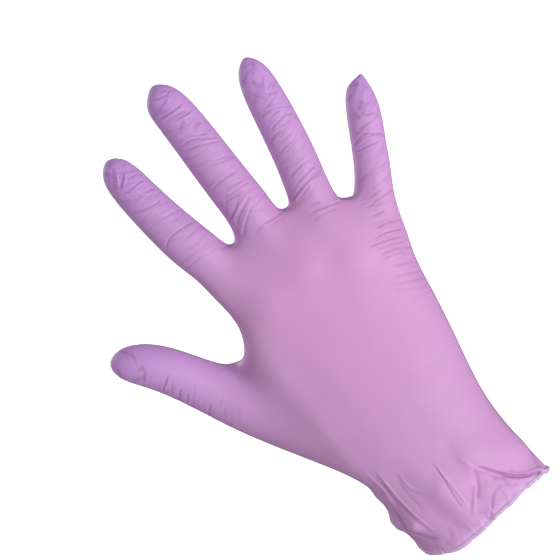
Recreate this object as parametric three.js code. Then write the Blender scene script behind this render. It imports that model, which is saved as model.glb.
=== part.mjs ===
// Nitrile examination glove, right hand, in the form it takes when worn.
// Millimetres. +Z runs from the cuff opening to the fingertips, -Y is the back of the hand,
// +Y is the palm, and the thumb is on the -X side. The origin is the centre of the cuff opening.
// The glove is one dipped skin, so it is one solid: an outer wall, an inner wall and a rolled hem.

import * as THREE from 'three';

// Driving sizes

const CUFF_LENGTH = 40;      // hem to wrist
const CUFF_WIDTH = 65;
const CUFF_DEPTH = 46;
const HAND_LENGTH = 120;     // wrist to the web between index and middle finger
const HAND_WIDTH = 88;       // across the knuckles
const HAND_DEPTH = 30;       // back of the hand to the palm, at the knuckles
const WALL = 1.2;            // thickness of the skin
const BEAD_DIAMETER = 2.2;   // the hem, rolled up on itself
const HEM_DROP = 5;          // how far the wavy hem hangs below its highest point
const FOLD_DEPTH = 2.2;      // deepest fold of the loose cuff
const KNUCKLE_RISE = 1.3;    // a knuckle under the skin
const PAD_RISE = 3.5;        // the fleshy pads of the palm

const INDEX = { length: 62, width: 20.5, depth: 18.5 };
const MIDDLE = { length: 74, width: 20.6, depth: 19 };
const RING = { length: 67.3, width: 19, depth: 17.5 };
const LITTLE = { length: 47.9, width: 16.2, depth: 15 };
const THUMB = { length: 84, width: 22, depth: 21 };

const SKIN_COLOUR = 0xcf9bcd;

// Sections of the cuff, from the hem to the wrist.
// up: share of CUFF_LENGTH. left, right: shares of CUFF_WIDTH. front (back of the hand)
// and back (palm side): shares of CUFF_DEPTH.
const CUFF_ROWS = [
  { up: 0.08, left: 0.49, right: 0.515, front: 0.47, back: 0.47 },
  { up: 0.20, left: 0.495, right: 0.505, front: 0.475, back: 0.47 },
  { up: 0.38, left: 0.513, right: 0.49, front: 0.48, back: 0.475 },
  { up: 0.56, left: 0.524, right: 0.48, front: 0.48, back: 0.48 },
  { up: 0.76, left: 0.515, right: 0.472, front: 0.47, back: 0.475 },
  { up: 1.00, left: 0.527, right: 0.47, front: 0.45, back: 0.47 },
];

// Sections of the hand, from the wrist to just under the fingers. up: share of HAND_LENGTH
// above the wrist, on the thumb side. slope: how much higher the little finger's side is, and
// bow: how much higher the middle is, both as shares of HAND_LENGTH. left, right: shares of
// HAND_WIDTH. front, back: shares of HAND_DEPTH. lined: 0 where the columns of the section are
// evenly spread, 1 where they line up with the fingers. The thumb leaves from row 0, 1 and 2.
const HAND_ROWS = [
  { up: 0.11, slope: 0, bow: 0, left: 0.467, right: 0.362, front: 0.66, back: 0.76, lined: 0.15 },
  { up: 0.37, slope: -0.02, bow: 0, left: 0.47, right: 0.43, front: 0.55, back: 0.76, lined: 0.45 },
  { up: 0.632, slope: -0.05, bow: 0.02, left: 0.511, right: 0.466, front: 0.49, back: 0.60, lined: 0.8 },
  { up: 0.74, slope: -0.09, bow: 0.04, left: 0.434, right: 0.506, front: 0.46, back: 0.53, lined: 0.95 },
  { up: 0.86, slope: -0.11, bow: 0.06, left: 0.462, right: 0.537, front: 0.43, back: 0.49, lined: 1 },
];

// Where each finger starts. across: share of HAND_WIDTH. up: share of HAND_LENGTH above the
// wrist. turn: degrees to the left. bend: sideways bow, curl: reach of the tip towards the
// palm, both as shares of the finger's length. rows: sections, with along as a share of the
// length, wide of the width and deep of the depth. side shifts a section, in shares of width,
// and tilt turns the first one further, in degrees to the left.
const FINGERS = [
  {
    size: INDEX, across: -0.365, up: 0.983, turn: 9.8, bend: -0.022, curl: 0.1,
    rows: [
      { along: 0.00, wide: 1.02, deep: 1.06, side: 0.015 },
      { along: 0.13, wide: 1.00, deep: 1.03, side: 0.012 },
      { along: 0.31, wide: 0.97, deep: 1.00, side: 0 },
      { along: 0.49, wide: 0.91, deep: 0.98, side: 0 },
      { along: 0.66, wide: 0.87, deep: 0.92, side: 0 },
      { along: 0.80, wide: 0.83, deep: 0.85, side: 0 },
      { along: 0.92, wide: 0.71, deep: 0.68, side: 0 },
      { along: 0.99, wide: 0.40, deep: 0.42, side: 0 },
    ],
  },
  {
    size: MIDDLE, across: -0.068, up: 1.00, turn: 1.3, bend: 0.006, curl: 0.07,
    rows: [
      { along: 0.00, wide: 1.08, deep: 1.06, side: 0 },
      { along: 0.11, wide: 0.99, deep: 1.03, side: 0.035 },
      { along: 0.28, wide: 0.97, deep: 1.00, side: 0 },
      { along: 0.46, wide: 0.95, deep: 0.98, side: 0 },
      { along: 0.64, wide: 0.92, deep: 0.92, side: 0 },
      { along: 0.80, wide: 0.89, deep: 0.85, side: 0 },
      { along: 0.92, wide: 0.80, deep: 0.70, side: -0.035 },
      { along: 0.98, wide: 0.42, deep: 0.44, side: -0.01 },
    ],
  },
  {
    size: RING, across: 0.227, up: 0.955, turn: -9.2, bend: 0.012, curl: 0.09,
    rows: [
      { along: 0.00, wide: 1.06, deep: 1.08, side: -0.01, tilt: -14 },
      { along: 0.12, wide: 0.98, deep: 1.04, side: -0.035 },
      { along: 0.29, wide: 0.96, deep: 1.00, side: 0 },
      { along: 0.46, wide: 0.94, deep: 0.98, side: 0 },
      { along: 0.64, wide: 0.91, deep: 0.92, side: 0 },
      { along: 0.80, wide: 0.85, deep: 0.84, side: 0 },
      { along: 0.91, wide: 0.69, deep: 0.67, side: 0.015 },
      { along: 0.97, wide: 0.40, deep: 0.44, side: 0.02 },
    ],
  },
  {
    size: LITTLE, across: 0.502, up: 0.862, turn: -27, bend: 0.0, curl: 0.12,
    rows: [
      { along: 0.00, wide: 1.02, deep: 1.10, side: 0, tilt: 9 },
      { along: 0.15, wide: 0.97, deep: 1.05, side: 0 },
      { along: 0.33, wide: 0.93, deep: 1.00, side: 0 },
      { along: 0.52, wide: 0.94, deep: 0.98, side: 0 },
      { along: 0.68, wide: 0.92, deep: 0.92, side: 0 },
      { along: 0.82, wide: 0.82, deep: 0.82, side: -0.02 },
      { along: 0.93, wide: 0.60, deep: 0.62, side: -0.045 },
      { along: 1.00, wide: 0.16, deep: 0.30, side: 0.08 },
    ],
  },
];

// The thumb, from the root in the hand's side. out (to the left) and rise (up): shares of its
// length from the root. turn: degrees to the left that the section faces. palmward: shares of
// the length towards the palm.
const THUMB_ROOT = { across: -0.485, up: 0.352 };
const THUMB_ROWS = [
  { out: 0.120, rise: 0.159, wide: 1.86, deep: 1.26, turn: 77, palmward: 0.15 },
  { out: 0.212, rise: 0.276, wide: 1.21, deep: 1.10, turn: 56, palmward: 0.15 },
  { out: 0.285, rise: 0.405, wide: 1.02, deep: 1.02, turn: 46, palmward: 0.145 },
  { out: 0.375, rise: 0.562, wide: 0.94, deep: 1.00, turn: 44, palmward: 0.14 },
  { out: 0.455, rise: 0.662, wide: 0.86, deep: 0.92, turn: 44, palmward: 0.14 },
  { out: 0.525, rise: 0.724, wide: 0.74, deep: 0.74, turn: 48, palmward: 0.14 },
  { out: 0.580, rise: 0.764, wide: 0.46, deep: 0.46, turn: 52, palmward: 0.145 },
];
const THUMB_TIP = { out: 0.628, rise: 0.793, palmward: 0.145 };

// Round sections shrink towards their centre when the cage is smoothed, and this undoes it.
const SIDES = 8;
const RING_GAIN = 1 / (2 / 3 + Math.cos((2 * Math.PI) / SIDES) / 3);
const TIP_REACH = 1.04;      // the cage's last point, past a digit's length
const SECTION_POWER = 2.4;   // 2 is an ellipse, more is squarer

// The smoothing cage: points, and four-cornered faces that run anticlockwise seen from outside

// Three columns of points to a finger, and one on each side of the hand
const HALF = 3 * FINGERS.length + 1;
const ROUND = 2 * HALF;
const cage = { points: [], faces: [] };

function addPoint(x, y, z) {
  cage.points.push(new THREE.Vector3(x, y, z));
  return cage.points.length - 1;
}

function lerp(a, b, share) {
  return a + (b - a) * share;
}

// The eight points of a section of a digit. Point 0 is on its right, 2 on the palm's side,
// 4 on its left and 6 on the back. turn is in degrees to the left, pitch towards the palm.
function sectionPoints(centre, width, depth, turn, pitch) {
  const left = THREE.MathUtils.degToRad(turn);
  const across = new THREE.Vector3(Math.cos(left), 0, Math.sin(left));
  const along = new THREE.Vector3(-Math.sin(left), 0, Math.cos(left));
  const palm = new THREE.Vector3(0, Math.cos(pitch), 0).addScaledVector(along, -Math.sin(pitch));
  return Array.from({ length: SIDES }, (_, k) => {
    const angle = (2 * Math.PI * k) / SIDES;
    return centre.clone()
      .addScaledVector(across, Math.cos(angle) * width / 2)
      .addScaledVector(palm, Math.sin(angle) * depth / 2);
  });
}

// Centre line of a finger: straight, with a sideways bow and a curl that grows to the tip
function fingerCentre(finger, along, side) {
  const left = THREE.MathUtils.degToRad(finger.turn);
  const reach = along * finger.size.length;
  const shift = finger.bend * finger.size.length * Math.sin(Math.PI * Math.min(along, 1))
    + side * finger.size.width;
  return new THREE.Vector3(
    finger.across * HAND_WIDTH - reach * Math.sin(left) + shift * Math.cos(left),
    finger.curl * finger.size.length * along * along,
    CUFF_LENGTH + finger.up * HAND_LENGTH + reach * Math.cos(left) + shift * Math.sin(left),
  );
}

function fingerSection(finger, row, gain) {
  const pitch = Math.atan(2 * finger.curl * row.along);
  const centre = fingerCentre(finger, row.along, row.side);
  const width = row.wide * finger.size.width * gain;
  const turn = finger.turn + (row.tilt ?? 0);
  return sectionPoints(centre, width, row.deep * finger.size.depth * gain, turn, pitch);
}

// The top row of the hand is made of the fingers' first sections. Point 0 of a row is on the
// little finger's side, 1 to 12 run across the palm, 13 is on the thumb's side, and 14 to 25
// run back across the back of the hand.
const firstSections = FINGERS.map((finger) => fingerSection(finger, finger.rows[0], 1));
const topRow = new Array(ROUND);
firstSections.forEach((section, j) => {
  const palmStart = 3 * (FINGERS.length - 1 - j) + 1;
  const backStart = HALF + 1 + 3 * j;
  for (let k = 0; k < 3; k += 1) {
    topRow[palmStart + k] = section[1 + k];
    topRow[backStart + k] = section[5 + k];
  }
});
topRow[0] = firstSections[FINGERS.length - 1][0];
topRow[HALF] = firstSections[0][4];

const topCentre = (topRow[0].x + topRow[HALF].x) / 2;
const topHalfWidth = (topRow[0].x - topRow[HALF].x) / 2;

// How far across the hand a column lies, from -1 on the thumb's side to 1
function columnShare(k, lined) {
  const even = Math.cos((2 * Math.PI * k) / ROUND);
  return lerp(even, (topRow[k].x - topCentre) / topHalfWidth, lined);
}

// How much fuller the back of the hand is in the columns next to the thumb, where it leaves
const THUMB_SHOULDER = [1.4, 1.15];

function rowPoints(row, height) {
  const centre = (row.right - row.left) / 2;
  const half = (row.right + row.left) / 2;
  return Array.from({ length: ROUND }, (_, k) => {
    const share = THREE.MathUtils.clamp(columnShare(k, row.lined), -1, 1);
    const side = Math.pow(1 - Math.pow(Math.abs(share), SECTION_POWER), 1 / SECTION_POWER);
    const fuller = (row.thumb && THUMB_SHOULDER[k - HALF - 1]) || 1;
    const y = k % HALF === 0 ? 0 : (k < HALF ? row.back : -row.front * fuller) * side;
    return addPoint(centre + half * share, y, height(share, k));
  });
}

// The hem hangs in waves. turn: degrees from the little finger's side over the palm, drop:
// share of HEM_DROP below the first row, out: share of FOLD_DEPTH that it stands out.
const HEM_WAVES = [
  { turn: 0, drop: 0.7, out: 0.3 },
  { turn: 28, drop: 0.5, out: -0.3 },
  { turn: 62, drop: 0.1, out: 0.4 },
  { turn: 97, drop: 0.6, out: -0.4 },
  { turn: 131, drop: 0.2, out: 0.2 },
  { turn: 159, drop: 0.5, out: -0.3 },
  { turn: 180, drop: -0.9, out: 0.2 },
  { turn: 208, drop: 0.2, out: 0.6 },
  { turn: 236, drop: 0.85, out: 0.5 },
  { turn: 258, drop: 0.6, out: -0.4 },
  { turn: 284, drop: 0.15, out: 0.3 },
  { turn: 312, drop: 0.05, out: -0.2 },
  { turn: 338, drop: 0.25, out: 0.2 },
];

// Value of a table of waves at a turn, with smooth steps from one row to the next
function waveAt(table, column, turn) {
  const last = table.length - 1;
  let i = last;
  while (i > 0 && table[i].turn > turn) i -= 1;
  const from = table[i];
  const to = i < last ? table[i + 1] : { ...table[0], turn: table[0].turn + 360 };
  const share = THREE.MathUtils.smoothstep(turn, from.turn, to.turn);
  return lerp(from[column], to[column], share);
}

function cuffRow(row, first) {
  const size = {
    left: row.left * CUFF_WIDTH,
    right: row.right * CUFF_WIDTH,
    front: row.front * CUFF_DEPTH,
    back: row.back * CUFF_DEPTH,
    lined: 0,
  };
  const hang = first ? HEM_DROP : 0;
  return rowPoints(size, (share, k) => {
    const turn = (360 * k) / ROUND;
    return row.up * CUFF_LENGTH - hang * waveAt(HEM_WAVES, 'drop', turn);
  });
}

function handRow(row, i) {
  const size = {
    thumb: i < 3,
    left: row.left * HAND_WIDTH,
    right: row.right * HAND_WIDTH,
    front: row.front * HAND_DEPTH,
    back: row.back * HAND_DEPTH,
    lined: row.lined,
  };
  return rowPoints(size, (share) => {
    const tilt = row.slope * (share + 1) / 2;
    const arch = row.bow * (1 - share * share);
    return CUFF_LENGTH + (row.up + tilt + arch) * HAND_LENGTH;
  });
}

const rows = [
  ...CUFF_ROWS.map((row, i) => cuffRow(row, i === 0)),
  ...HAND_ROWS.map((row, i) => handRow(row, i)),
  topRow.map((p) => addPoint(p.x, p.y, p.z)),
];
const hemRow = rows[0];
const thumbRow = CUFF_ROWS.length;

// Bands of faces between the rows, left open where the thumb leaves
for (let i = 0; i + 1 < rows.length; i += 1) {
  for (let k = 0; k < ROUND; k += 1) {
    const next = (k + 1) % ROUND;
    const atThumb = i >= thumbRow && i < thumbRow + 2 && (k === HALF - 1 || k === HALF);
    if (!atThumb) cage.faces.push([rows[i][k], rows[i][next], rows[i + 1][next], rows[i + 1][k]]);
  }
}

// A closed tube from a ring of eight points through the given sections to a tip
function addDigit(rootRing, sections, tip) {
  let ring = rootRing;
  for (const section of sections) {
    const next = section.map((p) => addPoint(p.x, p.y, p.z));
    for (let k = 0; k < SIDES; k += 1) {
      const after = (k + 1) % SIDES;
      cage.faces.push([ring[k], ring[after], next[after], next[k]]);
    }
    ring = next;
  }
  const end = addPoint(tip.x, tip.y, tip.z);
  for (let k = 0; k < SIDES; k += 2) {
    cage.faces.push([end, ring[(k + SIDES - 1) % SIDES], ring[k], ring[k + 1]]);
  }
}

// The webs, from the index finger's to the little finger's. pinch: share of the gap between two
// fingers by which the web is narrower. lean: share of the gap by which it lies to the left.
// drop: how much lower it lies, as a share of HAND_LENGTH.
const WEBS = [
  { pinch: 0.82, lean: 0.12, drop: 0 },
  { pinch: 0.5, lean: 0.20, drop: 0.005 },
  { pinch: 0.67, lean: 0.45, drop: 0.035 },
];

// The point of a finger's first ring on the side where its neighbour stands
function webPoint(j, neighbour) {
  const web = WEBS[Math.min(j, neighbour)];
  const [right, left] = [0, SIDES / 2];
  const own = firstSections[j][neighbour > j ? right : left];
  const other = firstSections[neighbour][neighbour > j ? left : right];
  const gap = Math.abs(other.x - own.x);
  const place = own.clone().lerp(other, web.pinch / 2);
  return addPoint(place.x - web.lean * gap, place.y, place.z - web.drop * HAND_LENGTH);
}

// Fingers: the first ring takes its points from the hand's top row, and two new ones stand in
// the webs. Two faces between neighbouring fingers close each web.
const baseRings = FINGERS.map((finger, j) => {
  const palmStart = 3 * (FINGERS.length - 1 - j) + 1;
  const backStart = HALF + 1 + 3 * j;
  const top = rows[rows.length - 1];
  const atRight = j === FINGERS.length - 1 ? top[0] : webPoint(j, j + 1);
  const atLeft = j === 0 ? top[HALF] : webPoint(j, j - 1);
  return [
    atRight, top[palmStart], top[palmStart + 1], top[palmStart + 2],
    atLeft, top[backStart], top[backStart + 1], top[backStart + 2],
  ];
});

FINGERS.forEach((finger, j) => {
  const sections = finger.rows.slice(1).map((row) => fingerSection(finger, row, RING_GAIN));
  const lastSide = finger.rows[finger.rows.length - 1].side;
  addDigit(baseRings[j], sections, fingerCentre(finger, TIP_REACH, lastSide));
  if (j === 0) return;
  const [a, palmA, , , , , , backA] = baseRings[j - 1];
  const [, , , palmB, b, backB] = baseRings[j];
  cage.faces.push([backA, backB, b, a], [a, b, palmB, palmA]);
});

// Thumb
function thumbCentre({ out, rise, palmward }) {
  return new THREE.Vector3(
    THUMB_ROOT.across * HAND_WIDTH - out * THUMB.length,
    palmward * THUMB.length,
    CUFF_LENGTH + THUMB_ROOT.up * HAND_LENGTH + rise * THUMB.length,
  );
}

const [low, mid, high] = rows.slice(thumbRow, thumbRow + 3);
const thumbRing = [
  high[HALF], high[HALF - 1], mid[HALF - 1], low[HALF - 1],
  low[HALF], low[HALF + 1], mid[HALF + 1], high[HALF + 1],
];
const thumbSections = THUMB_ROWS.map((row) => sectionPoints(
  thumbCentre(row),
  row.wide * THUMB.width * RING_GAIN,
  row.deep * THUMB.depth * RING_GAIN,
  row.turn,
  0,
));
addDigit(thumbRing, thumbSections, thumbCentre(THUMB_TIP));

// The mesh without the points that no face uses, such as the one inside the thumb's root
function withoutLoosePoints(mesh) {
  const used = [...new Set(mesh.faces.flat())].sort((a, b) => a - b);
  const place = new Map(used.map((old, i) => [old, i]));
  return {
    points: used.map((i) => mesh.points[i]),
    faces: mesh.faces.map((face) => face.map((i) => place.get(i))),
  };
}

// Smoothing: each face is cut in four and the points settle onto the smooth surface

const edgeKey = (a, b) => (a < b ? `${a}_${b}` : `${b}_${a}`);

// Neighbours of each point: along edges, across faces, and along the open border
function neighbours(mesh) {
  const around = mesh.points.map(() => ({ edges: new Set(), corners: [], border: [] }));
  const uses = new Map();
  for (const face of mesh.faces) {
    face.forEach((a, i) => {
      const b = face[(i + 1) % 4];
      around[a].edges.add(b);
      around[b].edges.add(a);
      around[a].corners.push(face[(i + 2) % 4]);
      uses.set(edgeKey(a, b), [...(uses.get(edgeKey(a, b)) ?? []), a, b]);
    });
  }
  for (const ends of uses.values()) {
    if (ends.length === 2) {
      around[ends[0]].border.push(ends[1]);
      around[ends[1]].border.push(ends[0]);
    }
  }
  return around;
}

function sumOf(points, indices) {
  const total = new THREE.Vector3();
  for (const i of indices) total.add(points[i]);
  return total;
}

// Splits every face in four by the Catmull-Clark rule
function subdivide(mesh) {
  const around = neighbours(mesh);
  const centres = mesh.faces.map((face) => sumOf(mesh.points, face).divideScalar(4));
  const beside = new Map();
  mesh.faces.forEach((face, f) => face.forEach((a, i) => {
    const key = edgeKey(a, face[(i + 1) % 4]);
    beside.set(key, [...(beside.get(key) ?? []), f]);
  }));
  const facesAt = mesh.points.map(() => []);
  mesh.faces.forEach((face, f) => face.forEach((a) => facesAt[a].push(f)));
  const points = mesh.points.map((p, i) => {
    const n = around[i].edges.size;
    if (around[i].border.length) {
      return p.clone().multiplyScalar(6).add(sumOf(mesh.points, around[i].border)).divideScalar(8);
    }
    const middle = sumOf(centres, facesAt[i]).divideScalar(n);
    const spokes = sumOf(mesh.points, around[i].edges).divideScalar(n);
    return p.clone().multiplyScalar(n - 2).add(middle).add(spokes).divideScalar(n);
  });
  const centreIndex = centres.map((c) => points.push(c) - 1);
  const edgeIndex = new Map();
  for (const [key, pair] of beside) {
    const ends = key.split('_').map(Number);
    const sum = sumOf(mesh.points, ends);
    const inside = pair.length === 2;
    const point = inside ? sum.add(sumOf(centres, pair)).divideScalar(4) : sum.divideScalar(2);
    edgeIndex.set(key, points.push(point) - 1);
  }
  const faces = mesh.faces.flatMap((face, f) => face.map((a, i) => {
    const after = edgeIndex.get(edgeKey(a, face[(i + 1) % 4]));
    const before = edgeIndex.get(edgeKey(face[(i + 3) % 4], a));
    return [a, after, centreIndex[f], before];
  }));
  return { points, faces };
}

// Moves each point to where endless smoothing would leave it
function settle(mesh) {
  const around = neighbours(mesh);
  const points = mesh.points.map((p, i) => {
    const n = around[i].edges.size;
    if (around[i].border.length) {
      return p.clone().multiplyScalar(4).add(sumOf(mesh.points, around[i].border)).divideScalar(6);
    }
    return p.clone().multiplyScalar(n * n)
      .addScaledVector(sumOf(mesh.points, around[i].edges), 4)
      .add(sumOf(mesh.points, around[i].corners))
      .divideScalar(n * (n + 5));
  });
  return { points, faces: mesh.faces };
}

function normalsOf(mesh) {
  const normals = mesh.points.map(() => new THREE.Vector3());
  for (const [a, b, c, d] of mesh.faces) {
    const first = mesh.points[c].clone().sub(mesh.points[a]);
    const normal = first.cross(mesh.points[d].clone().sub(mesh.points[b]));
    for (const i of [a, b, c, d]) normals[i].add(normal);
  }
  return normals.map((n) => n.normalize());
}

// Knuckles under the back of the hand and pads under the palm. across: share of HAND_WIDTH.
// up: share of HAND_LENGTH above the wrist. reach: share of HAND_WIDTH. rise: share of
// KNUCKLE_RISE or PAD_RISE.
const KNUCKLES = [
  { across: -0.27, up: 0.76, reach: 0.10, rise: 1.0 },
  { across: -0.01, up: 0.80, reach: 0.10, rise: 1.0 },
  { across: 0.20, up: 0.715, reach: 0.09, rise: 0.9 },
  { across: 0.42, up: 0.66, reach: 0.09, rise: 0.6 },
  { across: -0.62, up: 0.51, reach: 0.12, rise: 0.8 },
];
const PADS = [
  { across: -0.33, up: 0.36, reach: 0.26, rise: 1.0 },
  { across: 0.30, up: 0.34, reach: 0.22, rise: 0.7 },
  { across: -0.25, up: 0.80, reach: 0.14, rise: 0.35 },
  { across: 0.18, up: 0.78, reach: 0.14, rise: 0.35 },
  { across: -0.02, up: 0.52, reach: 0.20, rise: -0.6 },
];

// Folds of the loose cuff. Each runs from one place to another, with turn in degrees from the
// little finger's side over the palm, and up as a share of CUFF_LENGTH. width: share of
// CUFF_WIDTH. depth: share of FOLD_DEPTH, less than 0 for a valley.
const FOLDS = [
  { turn: 346, up: 0.12, toTurn: 284, toUp: 0.44, width: 0.08, depth: -0.7 },
  { turn: 340, up: 0.38, toTurn: 286, toUp: 0.70, width: 0.12, depth: 0.5 },
  { turn: 278, up: 0.95, toTurn: 270, toUp: 0.35, width: 0.05, depth: -0.6 },
  { turn: 252, up: 0.60, toTurn: 258, toUp: 0.00, width: 0.07, depth: 0.5 },
  { turn: 230, up: 0.95, toTurn: 242, toUp: 0.20, width: 0.07, depth: -0.35 },
  { turn: 180, up: 0.84, toTurn: 212, toUp: 0.80, width: 0.05, depth: 0.35 },
  { turn: 182, up: 0.50, toTurn: 216, toUp: 0.40, width: 0.05, depth: 0.9 },
  { turn: 24, up: 0.10, toTurn: 70, toUp: 0.75, width: 0.10, depth: -0.7 },
  { turn: 80, up: 0.05, toTurn: 96, toUp: 0.80, width: 0.10, depth: 0.7 },
  { turn: 118, up: 0.15, toTurn: 140, toUp: 0.85, width: 0.10, depth: -0.8 },
];
const FOLDS_END = 1.4;       // no fold shows above this share of CUFF_LENGTH
const HEM_REACH = 0.2;       // how far up the hem's waves fade out, as a share of CUFF_LENGTH

function bumpAt(p, table, rise) {
  let sum = 0;
  for (const bump of table) {
    const dx = p.x - bump.across * HAND_WIDTH;
    const dz = p.z - CUFF_LENGTH - bump.up * HAND_LENGTH;
    const reach = bump.reach * HAND_WIDTH;
    sum += bump.rise * rise * Math.exp(-(dx * dx + dz * dz) / (reach * reach));
  }
  return sum;
}

function foldAt(p) {
  const round = (Math.PI * CUFF_WIDTH) / 360;
  const turn = (THREE.MathUtils.radToDeg(Math.atan2(p.y / CUFF_DEPTH, p.x / CUFF_WIDTH)) + 360) % 360;
  let sum = 0;
  for (const fold of FOLDS) {
    const from = new THREE.Vector2(fold.turn * round, fold.up * CUFF_LENGTH);
    const run = new THREE.Vector2(fold.toTurn * round, fold.toUp * CUFF_LENGTH).sub(from);
    const at = new THREE.Vector2(turn * round, p.z).sub(from);
    const share = THREE.MathUtils.clamp(at.dot(run) / run.lengthSq(), 0, 1);
    const away = at.addScaledVector(run, -share).length() / (fold.width * CUFF_WIDTH);
    sum += fold.depth * FOLD_DEPTH * Math.exp(-away * away);
  }
  const turnedOut = waveAt(HEM_WAVES, 'out', turn) * Math.exp(-p.z / (HEM_REACH * CUFF_LENGTH));
  return sum + turnedOut * FOLD_DEPTH;
}

// The back of the hand faces -Y and the palm +Y, so each bump fades out round the sides.
function raise(mesh) {
  const normals = normalsOf(mesh);
  const points = mesh.points.map((p, i) => {
    const n = normals[i];
    const bump = bumpAt(p, KNUCKLES, KNUCKLE_RISE) * Math.max(-n.y, 0)
      + bumpAt(p, PADS, PAD_RISE) * Math.max(n.y, 0);
    const fold = p.z < FOLDS_END * CUFF_LENGTH ? foldAt(p) : 0;
    return p.clone().addScaledVector(n, bump + fold);
  });
  return { points, faces: mesh.faces };
}

// Both walls and the rolled hem in one closed surface

function borderLoop(mesh) {
  const next = new Map();
  const around = neighbours(mesh);
  for (const face of mesh.faces) {
    face.forEach((a, i) => {
      const b = face[(i + 1) % 4];
      if (around[a].border.includes(b)) next.set(a, b);
    });
  }
  const start = next.keys().next().value;
  const loop = [start];
  while (next.get(loop[loop.length - 1]) !== start) loop.push(next.get(loop[loop.length - 1]));
  return loop;
}

// Angles round the bead's section, from the outer wall round the bottom to the inner wall
const BEAD_ANGLES = [-30, 10, 50, 90, 130, 170, 210];

function skinGeometry(outer) {
  const normals = normalsOf(outer);
  const positions = outer.points.map((p) => p.clone());
  const inner = outer.points.map((p, i) => p.clone().addScaledVector(normals[i], -WALL));
  const offset = positions.length;
  positions.push(...inner);
  const faces = outer.faces.map((face) => [...face]);
  for (const face of outer.faces) faces.push([...face].reverse().map((i) => i + offset));
  const loop = borderLoop(outer);
  let ring = loop;
  const beadRings = BEAD_ANGLES.map((degrees) => {
    const angle = THREE.MathUtils.degToRad(degrees);
    return loop.map((i, k) => {
      const before = outer.points[loop[(k + loop.length - 1) % loop.length]];
      const after = outer.points[loop[(k + 1) % loop.length]];
      const run = after.clone().sub(before).normalize();
      const out = normals[i].clone().addScaledVector(run, -normals[i].dot(run)).normalize();
      const down = out.clone().cross(run);
      if (down.z > 0) down.negate();
      const centre = outer.points[i].clone().addScaledVector(down, BEAD_DIAMETER / 2);
      const point = centre
        .addScaledVector(out, Math.cos(angle) * BEAD_DIAMETER / 2)
        .addScaledVector(down, Math.sin(angle) * BEAD_DIAMETER / 2);
      return positions.push(point) - 1;
    });
  });
  for (const next of [...beadRings, loop.map((i) => i + offset)]) {
    for (let k = 0; k < loop.length; k += 1) {
      const after = (k + 1) % loop.length;
      faces.push([ring[k], next[k], next[after], ring[after]]);
    }
    ring = next;
  }
  return closedGeometry(positions, faces);
}

function closedGeometry(positions, faces) {
  const geometry = new THREE.BufferGeometry();
  geometry.setAttribute(
    'position',
    new THREE.Float32BufferAttribute(positions.flatMap((p) => [p.x, p.y, p.z]), 3),
  );
  const triangles = faces.flatMap(([a, b, c, d]) => {
    const short = positions[a].distanceTo(positions[c]) <= positions[b].distanceTo(positions[d]);
    return short ? [a, b, c, a, c, d] : [a, b, d, b, c, d];
  });
  geometry.setIndex(triangles);
  geometry.computeVertexNormals();
  return geometry;
}

const outerWall = raise(settle(subdivide(withoutLoosePoints(cage))));
const skin = new THREE.MeshStandardMaterial({ color: SKIN_COLOUR, roughness: 0.55, metalness: 0 });
const glove = new THREE.Mesh(skinGeometry(outerWall), skin);
glove.name = 'glove';

const group = new THREE.Group();
group.add(glove);

export default group;
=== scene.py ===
# %% [markdown]
# # A nitrile examination glove, as it is worn
# The real glove is one film of nitrile rubber, about a tenth of a millimetre thick. A hand-shaped
# former is dipped, the film is dried on it, and the open end is rolled up on itself into a hem.
# Worn, the film is tight over the back of the hand and slack at the fingertips and the cuff.
# It could be sculpted by hand or shrink-wrapped over a hand. Here it is grown from the same few
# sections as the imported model, so both have the same form, and the wrinkles are small tables of
# creases that push the smooth film in and out.

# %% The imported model
import math
from collections import namedtuple
from contextlib import contextmanager

import bmesh
import bpy
import numpy as np
from mathutils import Matrix, Vector


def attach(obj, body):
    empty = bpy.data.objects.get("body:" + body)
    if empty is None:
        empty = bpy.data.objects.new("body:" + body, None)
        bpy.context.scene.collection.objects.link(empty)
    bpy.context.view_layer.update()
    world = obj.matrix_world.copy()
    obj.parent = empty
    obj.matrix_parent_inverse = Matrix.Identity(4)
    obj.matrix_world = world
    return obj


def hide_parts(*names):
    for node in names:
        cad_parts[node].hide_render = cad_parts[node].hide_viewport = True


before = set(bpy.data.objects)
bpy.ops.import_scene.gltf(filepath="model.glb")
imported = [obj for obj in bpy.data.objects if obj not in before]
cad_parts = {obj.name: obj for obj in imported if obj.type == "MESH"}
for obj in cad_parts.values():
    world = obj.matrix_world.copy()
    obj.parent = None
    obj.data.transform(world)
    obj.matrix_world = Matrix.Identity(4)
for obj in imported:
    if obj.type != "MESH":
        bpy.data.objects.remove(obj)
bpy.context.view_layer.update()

# %% [markdown]
# ## Camera
# The glove stands upright in its own frame, with the fingers up and the back of the hand
# towards the viewer. The picture looks down on it a little, and leans, so that the fingers
# point to the upper left. A camera could be aimed by a constraint. Three axes worked out
# from two angles say the same in fewer steps, and they also give the lean.

# %% Camera
MM = 0.001
PICTURE = 560                                # pixels along a side of the picture
PIXEL = 0.43 * MM                            # what one pixel covers at the glove
VIEW_HEIGHT = math.radians(8.5)
VIEW_LEAN = math.radians(36)
VIEW_DISTANCE = 1.38                         # metres, as everywhere here
VIEW_CENTRE = Vector((-0.0124, 0, 0.1352))
VIEW_END = 500                               # how far the camera sees
SENSOR = 36.0


def add_object(name, data):
    thing = bpy.data.objects.new(name, data)
    bpy.context.scene.collection.objects.link(thing)
    return thing


def new_mesh(name, points, faces):
    mesh = bpy.data.meshes.new(name)
    mesh.from_pydata(points, [], faces)
    return mesh


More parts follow.
